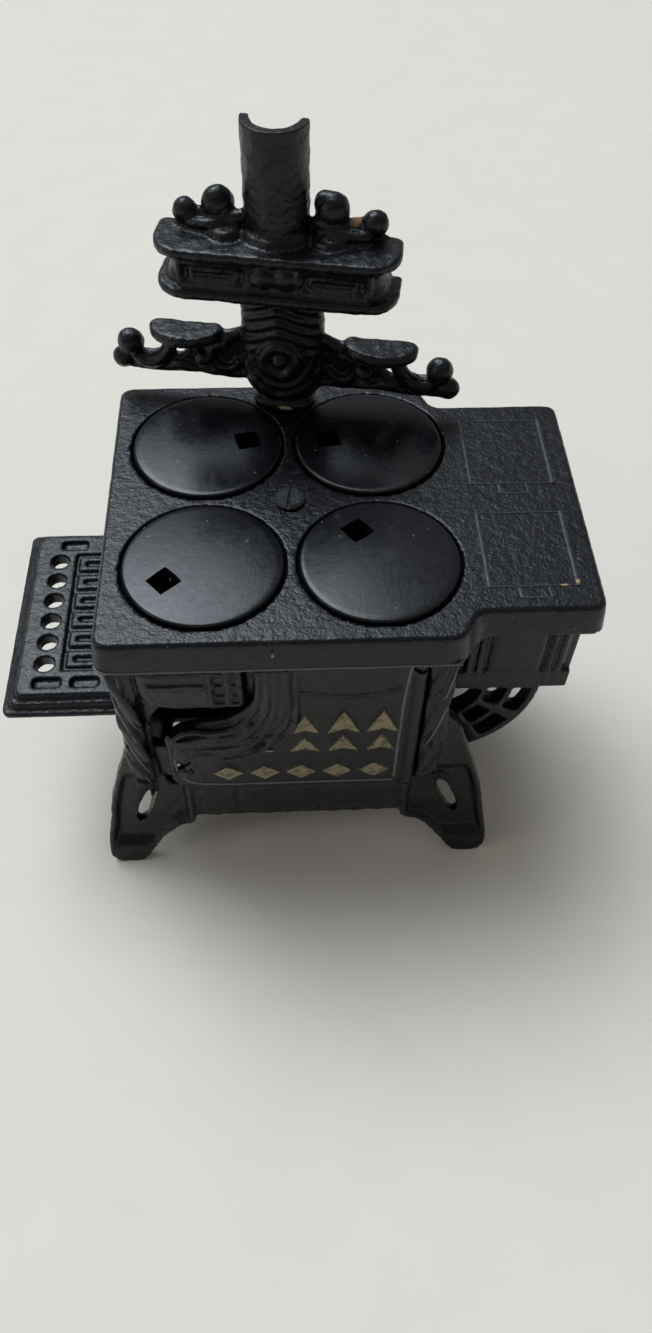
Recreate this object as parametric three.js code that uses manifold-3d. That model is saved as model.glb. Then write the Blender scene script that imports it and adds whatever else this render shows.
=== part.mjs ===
// A cast iron toy cooking stove, in millimetres, Z up, its front towards -Y.
// Thin castings stand on a base plate and one long bolt from the top plate clamps them.
// The model is laid out round the middle of the four lids, then set over the middle of its own box.
import * as THREE from "three";
import { mergeVertices } from "three/addons/utils/BufferGeometryUtils.js";
import Module from "manifold-3d";

const wasm = await Module();
wasm.setup();

// Fits that every piece shares
const seatGap = 0.3;
const overrun = 1;
const weldDistance = 1e-4;
const curveSteps = 4;
const roundSteps = 24;
const smallRoundSteps = 8;
const ballSteps = 12;

// Top plate
const plateTop = 80;
const plateThickness = 3;
const plateEdgeRound = 0.6;
const apronDepth = 7.1;
const apronWall = 2.2;
const apronFlare = 0.9;
const mainLeft = 36.5;
const mainFront = 36;
const mainBack = 36.4;
const mainFrontRight = 31.2;
const mainBackRight = 28.4;
const notchSlope = 3;
const plateCorner = 3;
const notchCorner = 2.6;

// Reservoir wing of the top plate, with the outlines of its two flaps
const wingRight = 58.5;
const wingFront = 29.7;
const wingBack = 28.2;
const flapLeft = 36.4;
const flapWidth = 17.8;
const flapBackEdge = 23;
const flapLength = 19.6;
const flapPitch = 27.6;
const flapLineHeight = 0.35;
const flapSideLine = 1.1;
const flapEndLine = 0.6;
const flapTabWidth = 6;
const flapTabReach = 3;

// Lids and their wells
const lidPitchAcross = 33.7;
const lidPitchDeep = 33.5;
const wellRadius = 16;
const wellDepth = 1.6;
const ledgeWidth = 2.4;
const lidRadius = 15.4;
const lidThickness = 1.8;
const lidEdgeRound = 0.5;
const lidDome = 0.5;
const lifterHoleSide = 4.6;
const lifterHoleFromCentre = 8.5;
const lifterHoleTurn = THREE.MathUtils.degToRad(9);

// Through bolt and its nut
const boltRadius = 1.5;
const boltHoleRadius = 1.9;
const boltHeadRadius = 3.1;
const boltHeadHeight = 0.9;
const boltHeadTopShare = 0.84;
const boltSlotWidth = 0.7;
const boltSlotDepth = 0.6;
const boltSlotTurn = 8;
const boltTail = 1;
const nutWidth = 6;
const nutHeight = 3;

// Front and back castings: the panel, its skirt and its corner pilasters
const panelFace = 33.4;
const panelThickness = 2.2;
const bodyLeft = 33.9;
const bodyRight = 29.3;
const skirtBottom = 12.5;
const skirtTop = 27.6;
const skirtProud = 0.8;
const skirtScallopDepth = 0.5;
const skirtScallops = 9;
const skirtTabletWidth = 7.6;
const skirtTabletGap = 1.4;
const skirtTabletProud = 0.35;
const skirtTabletMargin = 2.6;
const pilasterLeftInner = 30;
const pilasterLeftOuter = 35.8;
const pilasterRightInner = 25.6;
const pilasterRightOuter = 31.2;
const pilasterProud = 2.4;
const pilasterFoot = 30;
const pilasterTopGap = 0.4;
const leafLength = 12;
const leafWidth = 2.3;
const leafHeight = 1.1;
const leafLean = THREE.MathUtils.degToRad(13);
const leafPitch = 7;
const leafCount = 5;
const ledgeReach = 1.8;
const ledgeHeight = 2;
const ledgeHalfLength = 26.5;

// Legs, bent forward towards the foot
const legTop = 47;
const legThickness = 3;
const legSpread = 44.8;
const legFlare = 5;
const legHoleLength = 15;
const legHoleWidth = 3.2;
const legHoleAcross = 34.2;
const legHoleUp = 19.8;
const legHoleLean = THREE.MathUtils.degToRad(20);

// Firebox bulge, with its bar and its lattice tile, and the opening under it
const bulgeLeft = 30.2;
const bulgeRight = 9.7;
const bulgeHeight = 13.1;
const bulgeProud = 3;
const bulgeRound = 1.6;
const bulgeCorner = 7;
const bulgeSmallCorner = 1.2;
const bulgeBarLength = 11;
const bulgeBarHeight = 1;
const bulgeBarProud = 0.6;
const bulgeBarUp = 8;
const tileWidth = 5.2;
const tileDepth = 0.9;
const tileMargin = 0.9;
const tileBar = 0.7;
const fireOpeningLeft = 29.6;
const fireOpeningRight = 10.2;
const fireOpeningBottom = 42;
const fireOpeningTop = 59.2;
const fireOpeningCorner = 2;
const fireOpeningSweep = 10;
const ovenOpeningLeft = 5;
const ovenOpeningRight = 21.2;
const ovenOpeningBottom = 32;
const ovenOpeningTop = 66;
const ovenOpeningCorner = 2;

// Side panels and base plate
const sideWall = 2;
const sideFrameInset = 5;
const sideFrameWidth = 1.6;
const sideFrameDepth = 0.3;
const baseBottom = 14;
const baseThickness = 2;
const ashHoleLeft = 30;
const ashHoleRight = 20.5;
const ashHoleFront = 24;
const ashHoleBack = 8.8;

// Hooks that hang the shelf, reservoir and brackets in slots of the side panels
const hookWidth = 4;
const hookThickness = 2;
const hookLip = 1.4;
const hookDrop = 3;
const hookClearance = 0.3;

// Oven door, with its ribs, hinge barrel, pin and knob
const doorThickness = 1.9;
const doorBottom = 29.2;
const doorTopGap = 0.5;
const doorRight = 22.3;
const doorHingeAcross = 23.9;
const doorHingeForward = 35.3;
const barrelRadius = 1.4;
const pinRadius = 0.6;
const pinHoleRadius = 0.85;
const lugRadius = 1.2;
const lugHeight = 1.9;
const lugFloor = 0.8;
const doorLeft = 27;
const doorNeck = 6;
const hearthUnderBulge = 6;
const ribRadius = 0.8;
const ribPitch = 1.75;
const ribDropShare = 3 / 22;
const ribCount = 4;
const hearthPadProud = 1.1;
const knobAcross = 23.8;
const knobUp = 36;
const knobRadius = 1.7;
const knobHeight = 1.7;
const knobStemRadius = 0.7;
const knobRecessLong = 5;
const knobRecessWide = 4.2;
const knobRecessDepth = 0.6;

// Raised ornament on the door
const ornamentProud = 0.6;
const arrowWidth = 5.6;
const arrowHeight = 5.6;
const arrowPitch = 7.9;
const arrowMiddle = 9.7;
const arrowUpperFoot = 50.2;
const arrowLowerFoot = 43.4;
const arrowLowerHeight = 4.5;
const lozengeWidth = 6.4;
const lozengeHeight = 5.4;
const lozengePitch = 7.8;
const lozengeMiddle = 0.9;
const lozengeUp = 35;
const lozengeCount = 5;
const dashLength = 3.4;
const dashHeight = 0.6;
const dashAcross = 6.5;

// Side shelf
const shelfTop = 51;
const shelfOuter = 57.9;
const shelfFront = 25.2;
const shelfBack = 19.6;
const shelfPlate = 3.3;
const shelfRimHeight = 4.4;
const shelfRimStep = 3.1;
const shelfRimHeightShares = [0, 0.3, 0.375, 0.65, 0.725, 1];
const shelfRimStepShares = [1, 1, 0.55, 0.55, 0.15, 0];
const shelfRimWall = 1.8;
const shelfCorner = 2;
const shelfHoleRadius = 2.05;
const shelfHolePitch = 5.83;
const shelfHoleCount = 6;
const shelfHoleInset = 5.1;
const shelfHoleFirst = 17.3;
const fretDepth = 0.8;
const fretInset = 8.7;
const fretFrontInset = 6;
const fretBackInset = 5.6;
const fretBlockGap = 1.3;
const fretBlockCount = 6;
const fretMargin = 1;
const pocketDepth = 1.1;
const pocketWidth = 6;
const pocketLength = 2.6;
const pocketInset = 1.6;
const shelfHookSpread = 14;

// Reservoir and its two brackets
const reservoirRight = 56;
const reservoirFront = 27.2;
const reservoirBack = 25.7;
const reservoirHeight = 24.1;
const reservoirWall = 2;
const reservoirMoulding = 5.4;
const reservoirMouldingProud = 0.8;
const pillowWidth = 11;
const pillowBottomGap = 5.4;
const pillowTopGap = 4.9;
const pillowProud = 1.1;
const pillowRound = 1;
const pillowMiddle = 44.2;
const fluteRadius = 0.9;
const flutePitch = 2.1;
const fluteCountEachSide = 2;
const bracketReach = 21.6;
const bracketDrop = 25.2;
const bracketThickness = 4;
const bracketCells = 3;
const bracketSpokeShare = 0.14;
const reservoirHookSpread = 15;
const reservoirHookRise = 9.4;
const bracketHookDrop = 10.6;

// Stack: one casting that stands turned in the plate's round socket
const stackAcross = -0.4;
const stackBack = 32;
const stackTurn = THREE.MathUtils.degToRad(-10.5);
const stackBackFace = 1.3;
const tenonRadius = 3;
const tenonForward = 2;
const columnHalfWidth = 8.7;
const columnForward = 5.6;
const columnTop = 30;
const columnWall = 2;
const chevronWidth = 1.1;
const chevronPitch = 2.6;
const chevronRise = 3.4;
const chevronProud = 0.5;
const chevronCount = 3;
const chevronFirst = 17.2;
const bossUp = 11.6;
const bossRing = 3;
const bossRingTube = 0.9;
const bossDome = 1.3;
const armReach = 35.6;
const armThickness = 3;
const armBottom = 4.8;
const armTop = 15.4;
const armEndBall = 2.7;
const armTipBall = 2.2;
const armHoleAcross = 22.4;
const armHoleUp = 10.9;
const armHoleLong = 2.1;
const armHoleHigh = 1.2;
const trivetMiddle = 19.8;
const trivetHalfWidth = 7.3;
const trivetReach = 5.8;
const trivetTop = 16.4;
const trivetThickness = 1.5;
const closetHalfWidth = 21.4;
const closetForward = 9;
const closetLedgeHeight = 2;
const closetSlabHeight = 2;
const closetTop = 39;
const closetSlabOverhang = 2.1;
const closetLedgeOverhang = 2.1;
const closetFrontLip = 1.5;
const closetCorner = 4.5;
const closetWall = 2.4;
const drawerHalfWidth = 6.6;
const drawerMiddle = 11.4;
const drawerHeight = 4.4;
const drawerFrame = 0.9;
const drawerProud = 0.5;
const claspHalfWidth = 2.6;
const claspHeight = 3.6;
const claspProud = 0.9;
const galleryHeight = 1.9;
const galleryThickness = 2.4;
const galleryHalfLength = 21;
const flueAcross = -0.5;
const flueRadius = 6;
const flueWall = 1.4;
const flueTop = 59.6;
const flueCollar = 1.1;
const flueCollarHeight = 1.5;

// How the lids are turned: the bearing of each lifter hole from its lid's middle
const lidPlaces = [
  ["lid_front_left", -1, -1, 212],
  ["lid_front_right", 1, -1, 118],
  ["lid_back_left", -1, 1, 4],
  ["lid_back_right", 1, 1, 175],
];

// Outlines in shares of the sizes that they follow
const legShares = [
  [0, 0.86, 0.94],
  [0.017, 0.82, 0.975],
  [0.045, 0.79, 0.995],
  [0.085, 0.76, 1],
  [0.17, 0.7, 0.99],
  [0.22, 0.65, 0.98],
  [0.255, 0.6, 0.972],
  [0.28, 0.53, 0.966],
  [0.47, 0.53, 0.933],
  [0.584, 0.53, 0.9],
  [0.59, 0.65, 0.898],
  [0.7, 0.66, 0.866],
  [0.85, 0.67, 0.815],
  [1, 0.66, 0.77],
  [1.1, 0.64, 0.69],
];
const skirtHalfShare = 0.53;
const hearthShares = [
  [1, 0.1],
  [1, 0.8],
  [0.87, 0.95],
  [0.66, 1.02],
  [0.5, 1.06],
  [0.4, 1.15],
  [0.33, 1.27],
  [0.27, 1.48],
];
const pilasterShares = [
  [0, 0],
  [0.14, 0.78],
  [0.5, 1],
  [0.86, 0.78],
  [1, 0],
];
const ribShares = [
  [0, 1],
  [-0.02, 0.62],
  [-0.08, 0.32],
  [-0.28, 0.08],
  [-0.55, 0],
  [-0.8, 0.03],
  [-1, -0.12],
];
const arrowShares = [
  [0, 1],
  [0.16, 0.62],
  [0.5, 0],
  [0.2, 0.1],
  [0, 0.2],
  [-0.2, 0.1],
  [-0.5, 0],
  [-0.16, 0.62],
];
const armShares = [
  [0.2, 0.04],
  [0.5, 0],
  [0.8, -0.04],
  [0.9, 0.1],
  [0.96, 0.1],
  [0.98, 0.5],
  [0.9, 0.66],
  [0.82, 0.62],
  [0.76, 0.9],
  [0.36, 0.98],
  [0.28, 0.96],
  [0.2, 1],
];
const columnLevelShares = [
  [0, 0.58],
  [0.06, 0.6],
  [0.08, 0.78],
  [0.15, 0.91],
  [0.25, 0.97],
  [0.38, 1],
  [1, 0.97],
];
const galleryShares = [
  [-1, 0],
  [-0.99, 0.8],
  [-0.72, 1],
  [-0.34, 1.8],
  [0.34, 1.8],
  [0.72, 1],
  [0.99, 0.8],
  [1, 0],
];
const bracketRingShares = [
  [0.5, 0.68],
  [0.75, 0.92],
];
const bracketHeartShares = [0.1, 0.44, 0.1, 0.94];
// Balls on the warming closet: along the gallery, up from the closet top, and the radius
const galleryBalls = [
  [-17.9, 2.5, 2.3],
  [-11.5, 4.9, 2.9],
  [9.9, 5.3, 3.1],
  [17.9, 3.2, 2.5],
];
const galleryMounds = [
  [-9.4, 3.4],
  [9.6, 3.4],
];
const moundLong = 3;
const moundHigh = 1.2;
const ballForward = 0.6;

// Values worked out from the sizes above
const halfTurn = Math.PI;
const apronBottom = plateTop - apronDepth;
const bodyTop = plateTop - plateThickness - seatGap;
const panelInner = panelFace - panelThickness;
const sidePanelHalf = panelInner - seatGap;
const baseTop = baseBottom + baseThickness;
const reliefTop = apronBottom - pilasterTopGap;
const bulgeBottom = reliefTop - bulgeHeight;
const hearthTop = bulgeBottom - hearthUnderBulge;
const ribDrop = (hearthTop - doorBottom) * ribDropShare;
const reservoirBottom = bodyTop - reservoirHeight;
const reservoirHookUp = reservoirBottom + reservoirHookRise;
const pillowTop = bodyTop - pillowTopGap;
const pillowBottom = reservoirBottom + pillowBottomGap;
const bracketHookUp = reservoirBottom - bracketHookDrop;
const doorTop = apronBottom - doorTopGap;
const doorBack = panelFace + seatGap;
const doorFace = doorBack + doorThickness;
const hingeTop = reliefTop - lugHeight - seatGap;
const besideLeftWall = bodyLeft + seatGap;
const besideRightWall = bodyRight + seatGap;
const bodySides = [
  { side: -1, wall: bodyLeft, inner: pilasterLeftInner, outer: pilasterLeftOuter },
  { side: 1, wall: bodyRight, inner: pilasterRightInner, outer: pilasterRightOuter },
];
const [leftSide, rightSide] = bodySides;

const castIron = { color: 0x23262b, roughness: 0.55, metalness: 0.5 };
const steel = { color: 0x3a3a3c, roughness: 0.4, metalness: 0.8 };

// Frames: outlines are drawn in a plane and run along its third direction
const upright = new THREE.Matrix4();
const facingFront = new THREE.Matrix4().makeBasis(
  new THREE.Vector3(1, 0, 0),
  new THREE.Vector3(0, 0, 1),
  new THREE.Vector3(0, -1, 0),
);
const facingRight = new THREE.Matrix4().makeBasis(
  new THREE.Vector3(0, 1, 0),
  new THREE.Vector3(0, 0, 1),
  new THREE.Vector3(1, 0, 0),
);

const stove = new THREE.Group();

function solidOf(geometry) {
  const bare = geometry.clone();
  bare.deleteAttribute("normal");
  bare.deleteAttribute("uv");
  const merged = mergeVertices(bare.index ? bare.toNonIndexed() : bare, weldDistance);
  const mesh = new wasm.Mesh({
    numProp: 3,
    vertProperties: new Float32Array(merged.attributes.position.array),
    triVerts: new Uint32Array(merged.index.array),
  });
  return new wasm.Manifold(mesh);
}

function joined(...solids) {
  return solids.flat().reduce((whole, solid) => whole.add(solid));
}

function without(solid, ...tools) {
  return tools.flat().reduce((left, tool) => left.subtract(tool), solid);
}

function piece(name, solid, finish = castIron, parent = stove) {
  const { vertProperties, triVerts } = solid.getMesh();
  const geometry = new THREE.BufferGeometry();
  geometry.setAttribute("position", new THREE.BufferAttribute(vertProperties, 3));
  geometry.setIndex(new THREE.BufferAttribute(triVerts, 1));
  geometry.computeVertexNormals();
  const mesh = new THREE.Mesh(geometry, new THREE.MeshStandardMaterial(finish));
  mesh.name = name;
  parent.add(mesh);
  return mesh;
}

// An outline with its corners rounded, each corner by its own length or all alike
function roundedShape(points, corners) {
  const shape = new THREE.Shape();
  points.forEach(([x, y], i) => {
    const corner = Array.isArray(corners) ? corners[i] : corners;
    const here = new THREE.Vector2(x, y);
    const before = new THREE.Vector2(...points.at(i - 1));
    const after = new THREE.Vector2(...points[(i + 1) % points.length]);
    const start = here.clone().add(before.sub(here).setLength(corner));
    const end = here.clone().add(after.sub(here).setLength(corner));
    if (i) shape.lineTo(start.x, start.y);
    else shape.moveTo(start.x, start.y);
    if (corner) shape.quadraticCurveTo(here.x, here.y, end.x, end.y);
  });
  shape.closePath();
  return shape;
}

function rectangle(x0, x1, y0, y1, corners = 0) {
  const points = rectanglePoints(x0, x1, y0, y1);
  return corners ? roundedShape(points, corners) : polygon(points);
}

function rectanglePoints(x0, x1, y0, y1) {
  return [
    [x0, y0],
    [x1, y0],
    [x1, y1],
    [x0, y1],
  ];
}

function polygon(points) {
  return new THREE.Shape(points.map((p) => new THREE.Vector2(...p)));
}

function smoothShape(points) {
  const curve = new THREE.SplineCurve(points.map((p) => new THREE.Vector2(...p)));
  return new THREE.Shape(curve.getPoints(points.length * 2));
}

// The outline's points, counterclockwise and without a double at the end
function outlineOf(shape, steps = curveSteps) {
  const points = shape.extractPoints(steps).shape;
  if (points[0].distanceTo(points.at(-1)) < weldDistance) points.pop();
  return THREE.ShapeUtils.isClockWise(points) ? points.reverse() : points;
}

// A sharp outline let out or drawn in, then rounded, so that every level has as many points
function roundedOutline(points, corners, distance = 0, steps = curveSteps) {
  const sharp = grown(points.map(([x, y]) => new THREE.Vector2(x, y)), distance);
  const lengths = points.map((_, i) => {
    const corner = Array.isArray(corners) ? corners[i] : corners;
    return corner && Math.max(corner + distance, corner / 4);
  });
  return outlineOf(roundedShape(sharp.map((p) => [p.x, p.y]), lengths), steps);
}

function grown(outline, distance) {
  return outline.map((point, i) => {
    const before = outline.at(i - 1);
    const after = outline[(i + 1) % outline.length];
    const a = new THREE.Vector2(point.y - before.y, before.x - point.x).normalize();
    const b = new THREE.Vector2(after.y - point.y, point.x - after.x).normalize();
    const reach = distance / (1 + a.dot(b));
    return point.clone().addScaledVector(a.add(b), reach);
  });
}

function prism(shape, from, to, frame = upright, steps = curveSteps) {
  const geometry = new THREE.ExtrudeGeometry(shape, {
    depth: to - from,
    bevelEnabled: false,
    curveSegments: steps,
  });
  geometry.translate(0, 0, from).applyMatrix4(frame);
  return solidOf(geometry);
}

// A body through outlines of equal count at rising levels
function loft(levels, frame = upright) {
  const count = levels[0].outline.length;
  const positions = levels.flatMap(({ at, outline }) => outline.flatMap((p) => [p.x, p.y, at]));
  const index = [];
  for (let level = 0; level + 1 < levels.length; level++) {
    for (let i = 0; i < count; i++) {
      const a = level * count + i;
      const b = level * count + ((i + 1) % count);
      index.push(a, b, b + count, a, b + count, a + count);
    }
  }
  const last = (levels.length - 1) * count;
  for (const [a, b, c] of THREE.ShapeUtils.triangulateShape(levels[0].outline, [])) index.push(a, c, b);
  for (const [a, b, c] of THREE.ShapeUtils.triangulateShape(levels.at(-1).outline, [])) {
    index.push(last + a, last + b, last + c);
  }
  const geometry = new THREE.BufferGeometry();
  geometry.setAttribute("position", new THREE.Float32BufferAttribute(positions, 3));
  geometry.setIndex(index);
  return solidOf(geometry.applyMatrix4(frame));
}

function block(x0, x1, y0, y1, z0, z1) {
  return prism(rectangle(x0, x1, y0, y1), z0, z1);
}

function disc(x, y, radius) {
  return new THREE.Shape().absarc(x, y, radius, 0, 2 * halfTurn);
}

function post(x, y, radius, z0, z1, steps = roundSteps) {
  return prism(disc(x, y, radius), z0, z1, upright, steps);
}

function ellipsoid(x, y, z, rx, ry, rz, lean = 0) {
  const geometry = new THREE.SphereGeometry(1, ballSteps, ballSteps / 2);
  geometry.scale(rx, ry, rz).rotateY(lean).translate(x, y, z);
  return solidOf(geometry);
}

function turnedProfile(points, steps = roundSteps) {
  const profile = points.map(([radius, height]) => new THREE.Vector2(radius, height));
  const geometry = new THREE.LatheGeometry(profile, 2 * steps);
  return geometry.rotateX(halfTurn / 2);
}

// Top plate: slab, flared apron, wells with ledges, bolt hole, socket and the flaps' raised outlines
function topPlate() {
  const body = loft([
    { at: apronBottom, outline: plateOutline(apronFlare) },
    { at: plateTop - plateEdgeRound, outline: plateOutline(0) },
    { at: plateTop, outline: plateOutline(-plateEdgeRound) },
  ]);
  const hollow = loft([
    { at: apronBottom - overrun, outline: plateOutline(-apronWall) },
    { at: plateTop - plateThickness, outline: plateOutline(-apronWall) },
  ]);
  const wells = lidPlaces.flatMap(([, across, deep]) => {
    const x = (across * lidPitchAcross) / 2;
    const y = (deep * lidPitchDeep) / 2;
    return [
      post(x, y, wellRadius, plateTop - wellDepth, plateTop + overrun),
      post(x, y, wellRadius - ledgeWidth, apronBottom, plateTop),
    ];
  });
  const boltHole = post(0, 0, boltHoleRadius, apronBottom, plateTop + overrun, smallRoundSteps);
  const [socketX, socketY] = tenonPlace();
  const socket = post(socketX, socketY, tenonRadius + seatGap, apronBottom, plateTop + overrun, smallRoundSteps);
  return joined(without(body, hollow, wells, boltHole, socket), flapLines());
}

function plateOutline(distance) {
  const points = [
    [-mainLeft, -mainFront],
    [mainFrontRight, -mainFront],
    [mainFrontRight + notchSlope, -wingFront],
    [wingRight, -wingFront],
    [wingRight, wingBack],
    [mainBackRight + notchSlope, wingBack],
    [mainBackRight, mainBack],
    [-mainLeft, mainBack],
  ];
  const corners = points.map(([x]) => (x < 0 ? plateCorner : notchCorner));
  return roundedOutline(points, corners, distance);
}

// Raised lines round the two flaps of the wing, each with a tab at its front
function flapLines() {
  const top = plateTop + flapLineHeight;
  const foot = plateTop - plateEdgeRound;
  const right = flapLeft + flapWidth;
  const middle = flapLeft + flapWidth / 2;
  const halfTab = flapTabWidth / 2;
  return [0, 1].flatMap((flap) => {
    const back = flapBackEdge - flap * flapPitch;
    const front = back - flapLength;
    const tabFront = front - flapTabReach;
    return [
      block(flapLeft, flapLeft + flapSideLine, front, back, foot, top),
      block(right - flapSideLine, right, front, back, foot, top),
      block(flapLeft, right, front, front + flapEndLine, foot, top),
      block(flapLeft, right, back - flapEndLine, back, foot, top),
      block(middle - halfTab, middle - halfTab + flapEndLine, tabFront, front, foot, top),
      block(middle + halfTab - flapEndLine, middle + halfTab, tabFront, front, foot, top),
      block(middle - halfTab, middle + halfTab, tabFront, tabFront + flapEndLine, foot, top),
    ];
  });
}

// A lid: a shallow dome with a round edge and a square hole, set cornerwise
function lid() {
  const edge = lidRadius - lidEdgeRound;
  const rim = lidThickness - lidEdgeRound;
  const profile = [
    [0, 0],
    [edge, 0],
    [lidRadius, lidEdgeRound],
    [lidRadius, rim],
    [edge, lidThickness],
    [lidRadius / 2, lidThickness + lidDome * 0.75],
    [0, lidThickness + lidDome],
  ];
  const half = lifterHoleSide / 2;
  const hole = new THREE.BoxGeometry(lifterHoleSide, lifterHoleSide, lidThickness + lidDome + 2 * overrun + half);
  hole.rotateZ(lifterHoleTurn).translate(lifterHoleFromCentre, 0, 0);
  return without(solidOf(turnedProfile(profile)), solidOf(hole));
}

function addLids() {
  for (const [name, across, deep, bearing] of lidPlaces) {
    const mesh = piece(name, lid());
    mesh.position.set((across * lidPitchAcross) / 2, (deep * lidPitchDeep) / 2, plateTop - wellDepth + seatGap);
    mesh.rotation.z = THREE.MathUtils.degToRad(bearing);
  }
}

// The long bolt with a slotted round head, and its square nut under the base plate
function throughBolt() {
  const headFoot = plateTop + seatGap;
  const tail = baseBottom - seatGap - nutHeight - boltTail;
  const profile = [
    [0, tail],
    [boltRadius, tail],
    [boltRadius, headFoot],
    [boltHeadRadius, headFoot],
    [boltHeadRadius, headFoot + boltHeadHeight / 2],
    [boltHeadRadius * boltHeadTopShare, headFoot + boltHeadHeight],
    [0, headFoot + boltHeadHeight],
  ];
  const slotHalf = boltSlotWidth / 2;
  const slotFloor = headFoot + boltHeadHeight - boltSlotDepth;
  const slotReach = boltHeadRadius + overrun;
  const slot = block(-slotHalf, slotHalf, -slotReach, slotReach, slotFloor, slotFloor + overrun);
  return without(solidOf(turnedProfile(profile, smallRoundSteps)), slot.rotate([0, 0, -boltSlotTurn]));
}

function boltNut() {
  const half = nutWidth / 2;
  const top = baseBottom - seatGap;
  const body = block(-half, half, -half, half, top - nutHeight, top);
  const hole = post(0, 0, boltRadius + seatGap, top - nutHeight - overrun, top + overrun, smallRoundSteps);
  return without(body, hole);
}

// The casting that the front and the back share: panel, skirt, pilasters, ledge and two legs.
// The back one is drawn facing front too, so its sides are swapped.
function panelCasting(frame, sides) {
  const [left, right] = sides.map(({ side, wall }) => side * wall).sort((a, b) => a - b);
  const panel = prism(rectangle(left, right, skirtBottom, bodyTop), panelInner, panelFace, facingFront);
  const legs = sides.map(({ side }) => leg(side));
  const pilasters = sides.map(pilaster);
  const ledgeTop = baseTop + seatGap + ledgeHeight;
  const ledge = prism(
    rectangle(-ledgeHalfLength, ledgeHalfLength, baseTop + seatGap, ledgeTop),
    panelInner - ledgeReach,
    panelInner,
    facingFront,
  );
  const holes = sides.map(({ side }) => prism(legHole(side), 0, panelFace + legFlare + legThickness, facingFront));
  const plain = without(panel, apronBand(frame));
  return without(joined(plain, skirt(), pilasters, ledge, legs), holes, skirtScallopCuts());
}

// The skirt stands proud, with a row of tablets
function skirt() {
  const half = skirtHalfShare * legSpread;
  const face = panelFace + skirtProud;
  const plain = prism(rectangle(-half, half, skirtBottom, skirtTop), panelInner, face, facingFront);
  const pitch = skirtTabletWidth + skirtTabletGap;
  const count = Math.max(1, Math.floor((2 * half) / pitch));
  const tablets = [];
  for (let i = 0; i < count; i++) {
    const middle = (i - (count - 1) / 2) * pitch;
    const x0 = middle - skirtTabletWidth / 2;
    const outline = rectangle(
      x0,
      x0 + skirtTabletWidth,
      skirtBottom + skirtTabletMargin,
      skirtTop - skirtTabletMargin,
      skirtTabletGap,
    );
    tablets.push(prism(outline, panelFace, face + skirtTabletProud, facingFront, 2));
  }
  return joined(plain, tablets);
}

function skirtScallopCuts() {
  const half = skirtHalfShare * legSpread;
  const length = (2 * half) / skirtScallops;
  const cuts = [];
  for (let i = 0; i < skirtScallops; i++) {
    const middle = -half + (i + 0.5) * length;
    const arch = new THREE.Shape().absellipse(middle, skirtBottom, length / 2, skirtScallopDepth, 0, 2 * halfTurn);
    cuts.push(prism(arch, 0, panelFace + skirtProud + overrun, facingFront, smallRoundSteps));
  }
  return cuts;
}

function pilaster({ side, inner, outer }) {
  const width = outer - inner;
  const plan = pilasterShares.map(([across, proud]) => [
    side * (inner + across * width),
    -panelFace - proud * pilasterProud,
  ]);
  plan.push([side * outer, -panelInner], [side * inner, -panelInner]);
  const outline = polygon(plan);
  const column = prism(outline, pilasterFoot, reliefTop);
  const middle = side * (inner + width / 2);
  const leaves = [];
  for (let i = 0; i < leafCount; i++) {
    const z = reliefTop - leafLength / 2 - i * leafPitch;
    const sway = (i % 2 ? 1 : -1) * leafWidth * 0.4;
    leaves.push(
      ellipsoid(middle + sway, -panelFace - pilasterProud, z, leafWidth / 2, leafHeight, leafLength / 2, side * leafLean),
    );
  }
  const trimTop = block(-outer, outer, -2 * panelFace, 0, reliefTop, plateTop);
  return without(joined(column, leaves), trimTop);
}

// A leg is a flat bar of changing width that bends forward more and more towards the foot
function leg(side) {
  const levels = legShares.map(([up, inner, outer]) => {
    const face = panelFace + skirtProud + legFlare * (1 - up) ** 3;
    const across = [inner * legSpread * side, outer * legSpread * side].sort((a, b) => a - b);
    return { at: up * legTop, outline: boxOutline(...across, -face, -face + legThickness) };
  });
  return loft(levels);
}

function boxOutline(x0, x1, y0, y1) {
  return rectanglePoints(x0, x1, y0, y1).map((p) => new THREE.Vector2(...p));
}

function legHole(side) {
  const lean = side * (legHoleLean - halfTurn / 2);
  return new THREE.Shape().absellipse(
    side * legHoleAcross,
    legHoleUp,
    legHoleLength / 2,
    legHoleWidth / 2,
    0,
    2 * halfTurn,
    false,
    lean,
  );
}

// Front casting: the shared casting with the firebox bulge, both openings and the door's lugs
function frontPanel() {
  const fire = rectangle(
    -fireOpeningLeft,
    -fireOpeningRight,
    fireOpeningBottom,
    fireOpeningTop,
    [fireOpeningCorner, fireOpeningCorner, fireOpeningCorner, fireOpeningSweep],
  );
  const oven = rectangle(-ovenOpeningLeft, ovenOpeningRight, ovenOpeningBottom, ovenOpeningTop, ovenOpeningCorner);
  const openings = [fire, oven].map((shape) => prism(shape, 0, panelFace + overrun, facingFront));
  const casting = panelCasting(upright, bodySides);
  const keep = joined(without(casting, openings), fireboxBulge(), doorLugs());
  const pinHole = post(
    doorHingeAcross,
    -doorHingeForward,
    pinHoleRadius,
    doorBottom - seatGap - lugHeight + lugFloor,
    plateTop,
    smallRoundSteps,
  );
  return without(keep, pinHole);
}

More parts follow.
